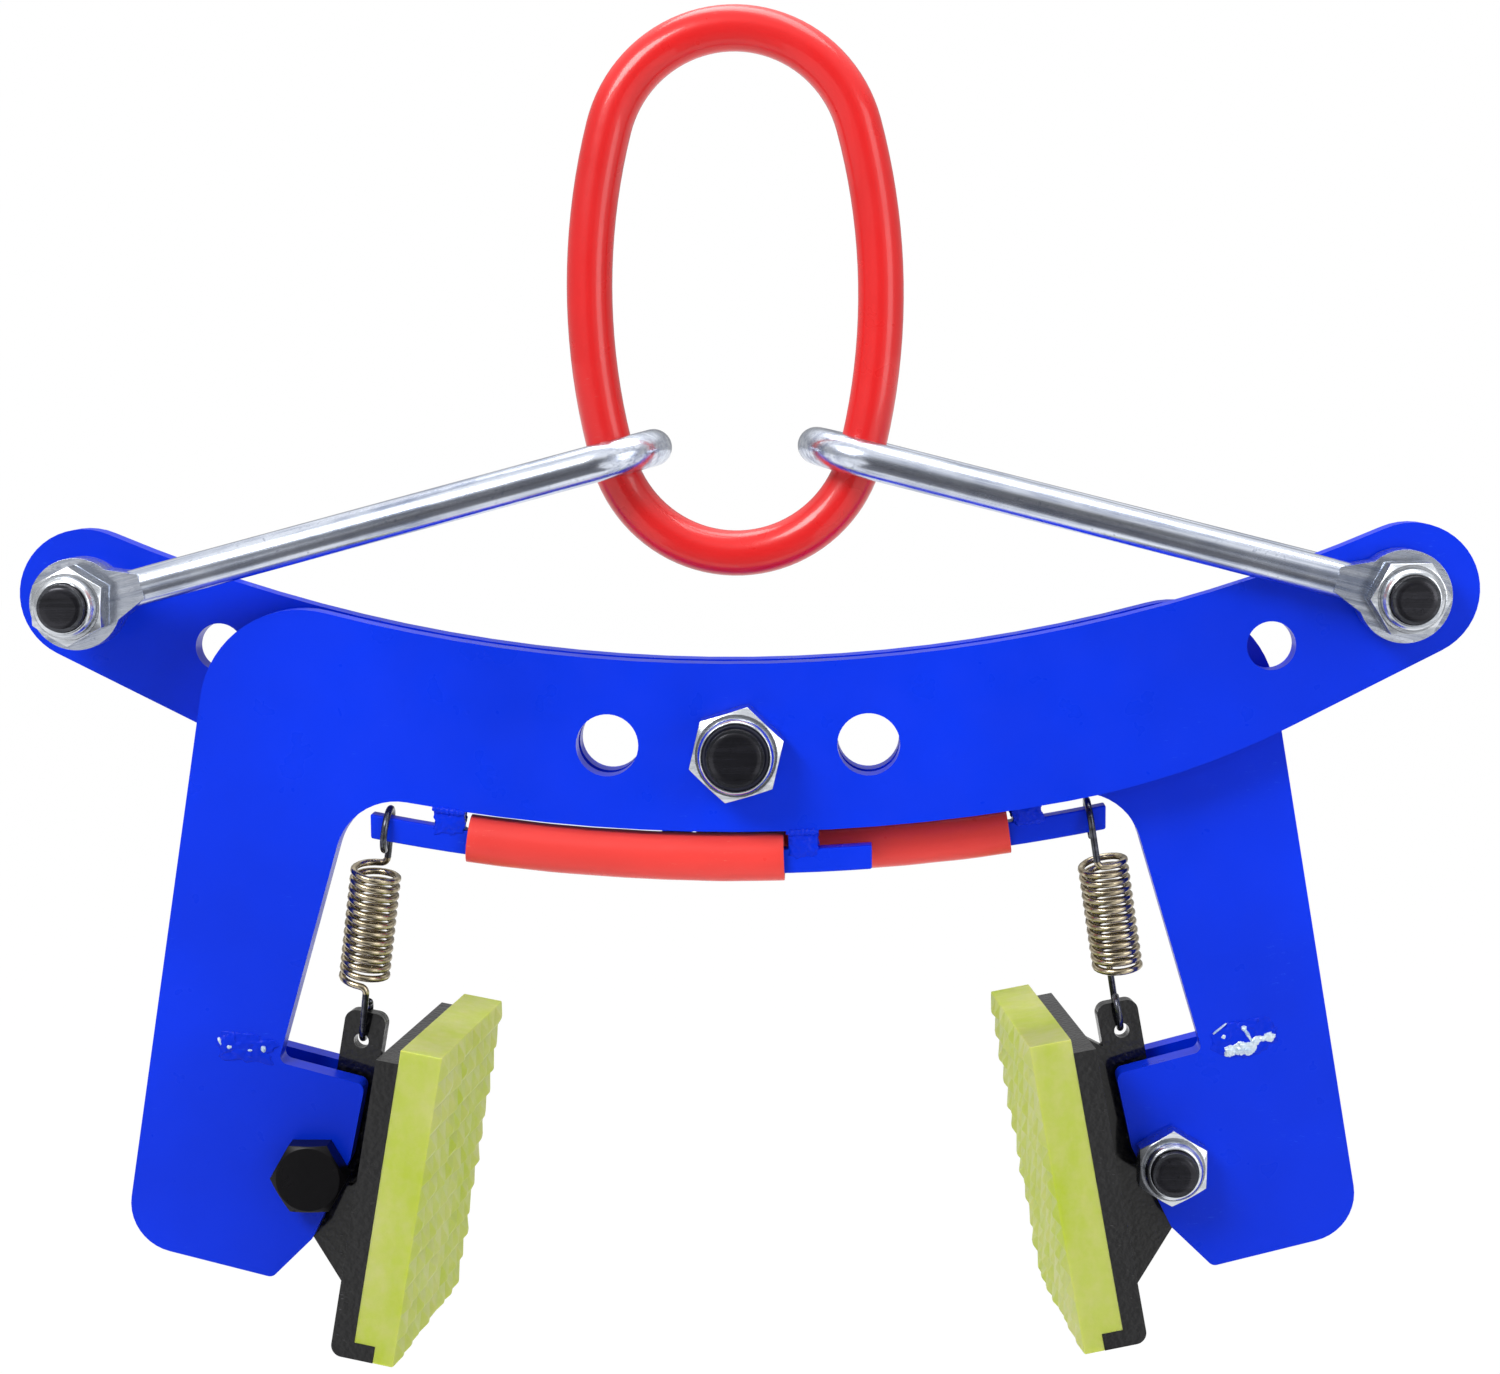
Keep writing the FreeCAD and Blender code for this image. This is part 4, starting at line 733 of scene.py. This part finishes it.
def cut_thread(mesh, radius, start):
    """One ridge of thread, which stands a little proud of radius."""
    steps = round(THREAD["turns"] * THREAD["steps"])
    rise = (0, 0, THREAD["pitch"] / THREAD["steps"])
    ring = ring_at(mesh, (radius, 0, start), (0, 1, 0), THREAD["radius"], THREAD["sides"])
    bmesh.ops.edgeloop_fill(mesh, edges=ring)
    last = spin_on(mesh, ring, (0, 0, 0), (0, 0, 1), 360 * THREAD["turns"], steps, rise)
    bmesh.ops.edgeloop_fill(mesh, edges=last)


# %% [markdown]
# Two sizes of fastener are enough: one for the centre bolt and one for the shackles and jaws. A nut
# is modelled standing on its seat, in the numbers that a catalogue gives.

# %% One fastened end
CENTRE_SIZE = {"flats": 30.0, "shank": 10.0, "nut": 20.0, "collar": 13.5, "lip": 11.8}
SHACKLE_SIZE = {"flats": 24.0, "shank": 8.0, "nut": 16.0, "collar": 10.6, "lip": 8.4}
WRENCH_SHARE = 0.72
BOLT_STAND_OUT = 3.0


def lock_nut(mesh, size):
    wrench, top = size["nut"] * WRENCH_SHARE, size["nut"]
    collar, lip = size["collar"], size["lip"]
    chamfered_hexagon(mesh, size["flats"], wrench)
    turn_profile(mesh, [(lip - 0.4, wrench - 0.5), (collar, wrench - 0.5), (collar, wrench + 0.6),
                        (collar - 0.3, top - 1.6), (collar * 0.5 + lip * 0.5, top - 0.4), (lip + 0.4, top),
                        (lip, top - 0.1), (lip - 0.3, top - 0.5)], closed=True)


def bolt_end(mesh, size):
    shank, low, tip = size["shank"] + 0.03, size["nut"] - 2.0, size["nut"] + BOLT_STAND_OUT
    turn_profile(mesh, [(0, low), (shank, low), (shank, tip - 0.9), (shank - 1.0, tip + 0.02),
                        (shank - 3.0, tip + 0.03), (0, tip + 0.03)], closed=False)


print("corners of the centre nut, mm:", round(CENTRE_SIZE["flats"] / math.cos(math.pi / 6), 1))

# %% [markdown]
# Nobody lines up the corners of nuts, so each has its own turn, as the photograph shows them.

# %% Five fastened ends
REAR_FACE = FRONT_FACE + ARM_STEP
SHACKLE_FACE = -28.0
CHEEK_BACK = 18.0
FASTENED_ENDS = [
    ("pivot", (0, FRONT_FACE, 0), -1, 16.5, CENTRE_SIZE, "rear_arm", "pivot_nut"),
    ("left_tail", (-TAIL_BOLT.x, SHACKLE_FACE, TAIL_BOLT.z), -1, 28, SHACKLE_SIZE,
     "left_shackle", "left_shackle_nut"),
    ("right_tail", (TAIL_BOLT.x, SHACKLE_FACE, TAIL_BOLT.z), -1, 1, SHACKLE_SIZE,
     "right_shackle", "right_shackle_nut"),
    ("left_jaw", (-JAW_BOLT.x, CHEEK_BACK, JAW_BOLT.z), 1, 11, SHACKLE_SIZE, "front_arm", "left_jaw_nut"),
    ("right_jaw", (JAW_BOLT.x, REAR_FACE, JAW_BOLT.z), -1, 29, SHACKLE_SIZE, "rear_arm", "right_jaw_nut"),
]


def fasten(name, seat, facing, twist, size, body, cad_nut):
    along = Vector((0, facing, 0)).to_track_quat("Z", "X").to_matrix().to_4x4()
    place = Matrix.Translation(seat) @ along @ Matrix.Rotation(math.radians(twist), 4, "Z")
    nut, ring, thread, end = bmesh.new(), bmesh.new(), bmesh.new(), bmesh.new()
    lock_nut(nut, size)
    hexagon = piece_from(nut, name + "_lock_nut", zinc_nut, body, (cad_nut,), place)
    bevel_corners(hexagon, "Soft corners", width=0.35, degrees=25)
    keep_flats_flat(hexagon)
    top, inner = size["nut"], size["shank"] + 0.1
    turn_profile(ring, [(inner, top - 1.6), (size["lip"], top - 1.6), (size["lip"], top - 0.7),
                        (inner, top - 0.5)], closed=True)
    piece_from(ring, name + "_nylon_ring", nylon, body, (), place)
    cut_thread(thread, size["shank"] - 0.25, top - 0.4)
    piece_from(thread, name + "_thread", blackened_end, body, (), place)
    bolt_end(end, size)
    piece_from(end, name + "_end", blackened_end, body, (), place)


for fastened in FASTENED_ENDS:
    fasten(*fastened)

# %% [markdown]
# ## Welds
# A fillet bead is a row of overlapping puddles. A ring is pushed along the joint in short steps, and
# each step's size follows the ripple of the puddles, with a little chance in it.

# %% One weld bead
RIPPLE_PITCH, RIPPLE_DEPTH = 1.9, 0.14
BEAD_STEP = 0.45
END_SHARE = 0.5


def lay_bead(mesh, start, end, radius, dice):
    way = end - start
    count = max(8, round(way.length / BEAD_STEP))
    size = radius * END_SHARE
    ring = ring_at(mesh, start, way, size, 10)
    bmesh.ops.edgeloop_fill(mesh, edges=ring)
    for index in range(1, count + 1):
        share = index / count
        ring = push_on(mesh, ring, way / count)
        wave = math.cos(FULL_TURN * share * way.length / RIPPLE_PITCH)
        ripple = 1 - RIPPLE_DEPTH + RIPPLE_DEPTH * wave
        taper = min(1.0, END_SHARE + 4 * share, END_SHARE + 4 * (1 - share))
        wanted = radius * ripple * taper * dice.uniform(0.97, 1.03)
        verts = list({vert for edge in ring for vert in edge.verts})
        middle = Matrix.Translation(-(start + way * share))
        bmesh.ops.scale(mesh, vec=Vector((1, 1, 1)) * (wanted / size), space=middle, verts=verts)
        size = wanted
    bmesh.ops.edgeloop_fill(mesh, edges=ring)


# %% [markdown]
# Weld that fills a hole or runs over a face is a low rough patch. A flattened icosphere gives a closed
# lens, and noise makes its outline and its face uneven.


# %% One rough patch
def rough_patch(mesh, place, width, height, rise, square, seed):
    """A lens in x and z that stands up by rise. square goes from 0, a round outline, to 1, full corners."""
    made = bmesh.ops.create_icosphere(mesh, subdivisions=5, radius=1.0)["verts"]
    for vert in made:
        x, y, z = vert.co
        corner = max(abs(x), abs(z), 0.001) / max(math.hypot(x, z), 0.001)
        spot = Vector((x, z, seed))
        reach = (1 + 0.30 * lumps.noise(spot * 1.6) + 0.16 * lumps.noise(spot * 5.0)) / corner ** square
        lump = 1 + 0.55 * lumps.noise(Vector((x * width, z * height, seed)) * 0.30)
        vert.co = Vector((x * reach * width / 2, y * rise * lump, z * reach * height / 2))
    bmesh.ops.transform(mesh, matrix=place, verts=made)


# %% [markdown]
# The bumper bars hang from two stubs each, welded on both sides to the arm's lower edge, and the weld
# runs down over the stub's face.

# %% Welds on the stubs
STUB_SPANS = ((-107.5, -97.5), (17.5, 27.5))
STUB_FACES = (-12.3, -3.7)
STUB_BEAD = {"radius": 1.6, "past_end": 0.8, "sunk": 0.6}
STUB_PATCH = {"below_edge": 4.5, "inward": 0.3, "shape": (10.5, 9.5, 0.9, 0.7)}
for arm, turn in (("front", 0), ("rear", math.pi)):
    dice = random.Random(arm)
    mesh = bmesh.new()
    for start, end in STUB_SPANS:
        for y in STUB_FACES:
            ends = (start - STUB_BEAD["past_end"], end + STUB_BEAD["past_end"])
            sunk = Vector((0, 0, STUB_BEAD["sunk"]))
            reach = [arc_spot(LOW_EDGE_RADIUS, x, y) - sunk for x in ends]
            lay_bead(mesh, *reach, STUB_BEAD["radius"], dice)
            inward = STUB_PATCH["inward"] if y < BAR_Y else -STUB_PATCH["inward"]
            middle = arc_spot(LOW_EDGE_RADIUS + STUB_PATCH["below_edge"], (start + end) / 2, y + inward)
            rough_patch(mesh, Matrix.Translation(middle), *STUB_PATCH["shape"], start + y)
    piece_from(mesh, arm + "_stub_welds", blue_weld, arm + "_arm", (),
               Matrix.Rotation(turn, 4, "Z"))

# %% [markdown]
# The lug plates are welded to the back of the pad holders with three short runs on each side.

# %% Beads on the lugs
LUG_RUNS = ((-46.0, -22.0), (-12.0, 10.0), (20.0, 46.0))
LUG_BACK, LUG_SIDE, LUG_BEAD = 24.7, 3.6, 1.7
for side in ("left", "right"):
    dice = random.Random(side + " lug")
    mesh = bmesh.new()
    for y in (-LUG_SIDE, LUG_SIDE):
        for low, high in LUG_RUNS:
            lay_bead(mesh, Vector((LUG_BACK, y, low)), Vector((LUG_BACK, y, high)), LUG_BEAD, dice)
    piece_from(mesh, side + "_lug_welds", black_paint, side + "_pad", (), jaw_place(side))

# %% [markdown]
# ## Plug welds on the legs
# Where a spacer block is welded in through the leg, the filled hole was ground and painted. The left
# one is a rough blue patch with a few bare specks, and on the right one a large splash of weld was
# never painted. Each is a few overlapping patches, given by place, tilt and size.

# %% Plug welds
PLUG_WELDS = {
    ("left_plug_weld", "front_arm", FRONT_FACE): [
        ((-176.8, -106.4), 8, (19.5, 9.6, 0.9, 0.9, 1.3)),
        ((-183.0, -104.6), -20, (8.0, 7.0, 1.1, 0.4, 8.3)),
    ],
    ("left_bare_specks", "front_arm", FRONT_FACE - 0.5): [
        ((-182.8, -105.8), 0, (2.2, 2.0, 0.9, 0.0, 4.4)),
        ((-175.4, -107.2), 10, (1.8, 1.0, 0.8, 0.0, 2.2)),
        ((-170.6, -106.7), 80, (2.6, 1.8, 0.9, 0.0, 3.1)),
        ((-186.2, -103.8), 70, (3.2, 1.0, 0.7, 0.0, 5.2)),
    ],
    ("right_plug_weld", "rear_arm", REAR_FACE): [
        ((180.8, -106.6), -12, (23.0, 14.0, 0.8, 0.4, 7.7)),
        ((175.4, -105.0), -30, (10.0, 7.0, 0.9, 0.2, 2.9)),
    ],
    ("right_bare_weld", "rear_arm", REAR_FACE - 0.4): [
        ((175.2, -111.2), 20, (4.6, 4.4, 1.1, 0.0, 3.9)),
        ((178.6, -110.2), -60, (6.4, 4.6, 1.2, 0.0, 5.1)),
        ((181.8, -110.4), -24, (6.6, 4.6, 1.1, 0.0, 6.4)),
        ((184.0, -108.0), -38, (6.4, 3.4, 1.1, 0.0, 2.3)),
        ((187.0, -106.6), -16, (4.6, 1.9, 1.0, 0.0, 6.1)),
        ((189.2, -106.0), 0, (3.9, 3.5, 1.2, 0.0, 1.7)),
        ((181.4, -105.4), 58, (7.2, 1.4, 1.0, 0.0, 5.5)),
        ((180.0, -103.0), 0, (2.0, 2.2, 1.0, 0.0, 7.5)),
        ((172.8, -106.2), 0, (1.6, 1.6, 0.7, 0.0, 9.2)),
        ((171.4, -103.2), -40, (7.0, 0.8, 0.7, 0.0, 4.8)),
    ],
}
for (name, body, y), patches in PLUG_WELDS.items():
    mesh = bmesh.new()
    for (x, z), tilt, shape in patches:
        place = Matrix.Translation((x, y, z)) @ Matrix.Rotation(math.radians(tilt), 4, "Y")
        rough_patch(mesh, place, *shape)
    piece_from(mesh, name, blue_weld if "plug" in name else bare_weld, body)

# %% [markdown]
# ## Floor
# The clamp hangs, so the floor is well below it. To the camera and in reflections the floor is nearly
# white by its own glow, and a share of plain shading stays so that the clamp's shadow shows.

# %% Pale floor
FLOOR_Z = -0.80
FLOOR_HALF_WIDTH = 8.0
FLOOR_GLOW = 0.95
GLOW_STRENGTH = 1.03


def floor_finish():
    material = bpy.data.materials.new("Pale floor")
    material.use_nodes = True
    tree = material.node_tree
    shaded = tree.nodes["Principled BSDF"]
    shaded.inputs["Base Color"].default_value = (0.9, 0.9, 0.9, 1.0)
    shaded.inputs["Roughness"].default_value = 0.9
    shaded.inputs["Specular IOR Level"].default_value = 0.0
    path = tree.nodes.new("ShaderNodeLightPath").outputs
    seen = worked(tree, "MAXIMUM", path["Is Camera Ray"], path["Is Glossy Ray"])
    seen = worked(tree, "MAXIMUM", seen, path["Is Transmission Ray"])
    mix = tree.nodes.new("ShaderNodeMixShader")
    tree.links.new(worked(tree, "MULTIPLY", seen, FLOOR_GLOW), mix.inputs["Fac"])
    glow = tree.nodes.new("ShaderNodeEmission")
    glow.inputs["Strength"].default_value = GLOW_STRENGTH
    tree.links.new(shaded.outputs["BSDF"], mix.inputs[1])
    tree.links.new(glow.outputs["Emission"], mix.inputs[2])
    tree.links.new(mix.outputs["Shader"], tree.nodes["Material Output"].inputs["Surface"])
    return material


def studio_object(mesh, name, finish):
    """Something that isn't part of the clamp, so it rides on nothing."""
    data = bpy.data.meshes.new(name)
    mesh.to_mesh(data)
    mesh.free()
    data.materials.append(finish)
    thing = bpy.data.objects.new(name, data)
    bpy.context.scene.collection.objects.link(thing)
    return thing


mesh = bmesh.new()
bmesh.ops.create_grid(mesh, x_segments=1, y_segments=1, size=FLOOR_HALF_WIDTH)
bmesh.ops.translate(mesh, vec=(0, 0, FLOOR_Z), verts=mesh.verts)
floor = studio_object(mesh, "floor", floor_finish())
print("floor at", FLOOR_Z, "m")

# %% [markdown]
# ## Black card
# Polished bar on a white sheet needs something dark to reflect, or it fades into the sheet. A
# photographer lays a black card in front of the object and stands its far end up. Here it is one edge
# pushed along the floor and then up, and only reflections see it.

# %% Card in front
CARD_SIDES = (-0.45, 0.40)
CARD_NEAR, CARD_DEPTH, CARD_HEIGHT = -0.42, 1.2, 0.80
CARD_Z = FLOOR_Z + 0.01
card_finish = bpy.data.materials.new("Black card")
card_finish.use_nodes = True
card_finish.node_tree.nodes["Principled BSDF"].inputs["Base Color"].default_value = (0.12, 0.12, 0.13, 1.0)

mesh = bmesh.new()
near_edge = mesh.edges.new([mesh.verts.new((x, CARD_NEAR, CARD_Z)) for x in CARD_SIDES])
far_edge = push_on(mesh, [near_edge], (0, -CARD_DEPTH, 0))
push_on(mesh, far_edge, (0, 0, CARD_HEIGHT))
card = studio_object(mesh, "black_card", card_finish)
card.visible_camera = False
card.visible_diffuse = False
card.visible_transmission = False
card.visible_shadow = False
print("card reaches up to", round(CARD_Z + CARD_HEIGHT, 2), "m")

# %% [markdown]
# ## World
# A studio is bright above and dim at eye level. In front, two white flats leave a dim gap between them
# where the photographer stands, and the gap draws the dark line along each polished bar. Each range
# below gives two values of a direction and the brightness at each.

# %% Studio world
FILL_LEVEL = 0.45
FRONT_TO_BACK = (-0.55, 0.65, 0.15, 0.35)
EYE_LEVEL_TO_TOP = (0.25, 0.60, 0.0, 1.0)
GAP_TO_FLATS = (0.19, 0.32, 0.0, 0.5)


def make_world():
    world = bpy.data.worlds.new("Studio")
    world.use_nodes = True
    tree = world.node_tree
    background = tree.nodes["Background"]
    background.inputs["Color"].default_value = (1.0, 1.0, 1.0, 1.0)
    path = tree.nodes.new("ShaderNodeLightPath").outputs
    way = tree.nodes.new("ShaderNodeSeparateXYZ")
    tree.links.new(tree.nodes.new("ShaderNodeTexCoord").outputs["Generated"], way.inputs["Vector"])
    behind = ranged(tree, way.outputs["Y"], *FRONT_TO_BACK)
    above = ranged(tree, way.outputs["Z"], *EYE_LEVEL_TO_TOP)
    aside = ranged(tree, worked(tree, "ABSOLUTE", way.outputs["X"], 0.0), *GAP_TO_FLATS)
    studio = worked(tree, "MAXIMUM", worked(tree, "MAXIMUM", behind, aside), above)
    mirrored = worked(tree, "MULTIPLY", path["Is Glossy Ray"], studio)
    plain = worked(tree, "SUBTRACT", 1.0, path["Is Glossy Ray"])
    plain = worked(tree, "MULTIPLY", plain, FILL_LEVEL)
    seen = worked(tree, "MAXIMUM", path["Is Camera Ray"], path["Is Transmission Ray"])
    level = worked(tree, "MAXIMUM", worked(tree, "ADD", mirrored, plain), seen)
    tree.links.new(level, background.inputs["Strength"])
    return world


bpy.context.scene.world = make_world()
print("world:", bpy.context.scene.world.name)

# %% [markdown]
# ## Lamps
# Three large soft lamps: a key high on the left, a weaker fill on the right and one above. Large lamps
# give the long soft lights on the link and keep the shadows under the clamp gentle.

# %% Soft lamps
LOOK_AT = Vector((0.0, 0.0, -0.22))
LAMPS = [
    ("key_light", (-0.75, -1.05, 0.75), 0.70, 0.55, 15.0),
    ("fill_light", (1.15, -0.95, 0.10), 0.70, 0.90, 5.0),
    ("top_light", (0.10, 0.15, 0.85), 1.20, 0.50, 9.0),
]


def add_lamp(name, spot, width, height, power):
    lamp = bpy.data.lights.new(name, "AREA")
    lamp.shape = "RECTANGLE"
    lamp.size, lamp.size_y, lamp.energy = width, height, power
    holder = bpy.data.objects.new(name, lamp)
    holder.location = spot
    holder.rotation_euler = (LOOK_AT - Vector(spot)).to_track_quat("-Z", "Y").to_euler()
    holder.visible_camera = False
    bpy.context.scene.collection.objects.link(holder)
    print(name, power, "W")


for lamp in LAMPS:
    add_lamp(*lamp)

# %% [markdown]
# ## Camera
# The camera was worked out from pairs of matching points on the two arms, which are the same plate
# turned round. It stands about a metre away, a little above the clamp's middle, and looks down 6
# degrees.

# %% Camera
CAMERA_SPOT = Vector((40.33, -988.72, 127.32))
PITCH, YAW, ROLL = 0.107, -0.03667, -0.00865
FOCAL_PIXELS, IMAGE_WIDTH, SENSOR = 2802.96, 1500, 36.0


def make_camera():
    ahead = Vector((math.sin(YAW) * math.cos(PITCH), math.cos(YAW) * math.cos(PITCH), -math.sin(PITCH)))
    level = Vector((math.cos(YAW), -math.sin(YAW), 0))
    upright = level.cross(ahead)
    right = math.cos(ROLL) * level + math.sin(ROLL) * upright
    up = math.cos(ROLL) * upright - math.sin(ROLL) * level
    data = bpy.data.cameras.new("camera")
    data.sensor_width = SENSOR
    data.lens = SENSOR * FOCAL_PIXELS / IMAGE_WIDTH
    data.clip_start = 0.01
    camera = bpy.data.objects.new("camera", data)
    turn = Matrix((right, up, -ahead)).transposed().to_4x4()
    camera.matrix_world = Matrix.Translation(TO_ROW_FRAME @ CAMERA_SPOT) @ turn
    bpy.context.scene.collection.objects.link(camera)
    return camera


bpy.context.scene.camera = make_camera()
bpy.context.scene.view_settings.view_transform = "Standard"
print("lens, mm:", round(bpy.context.scene.camera.data.lens, 2))
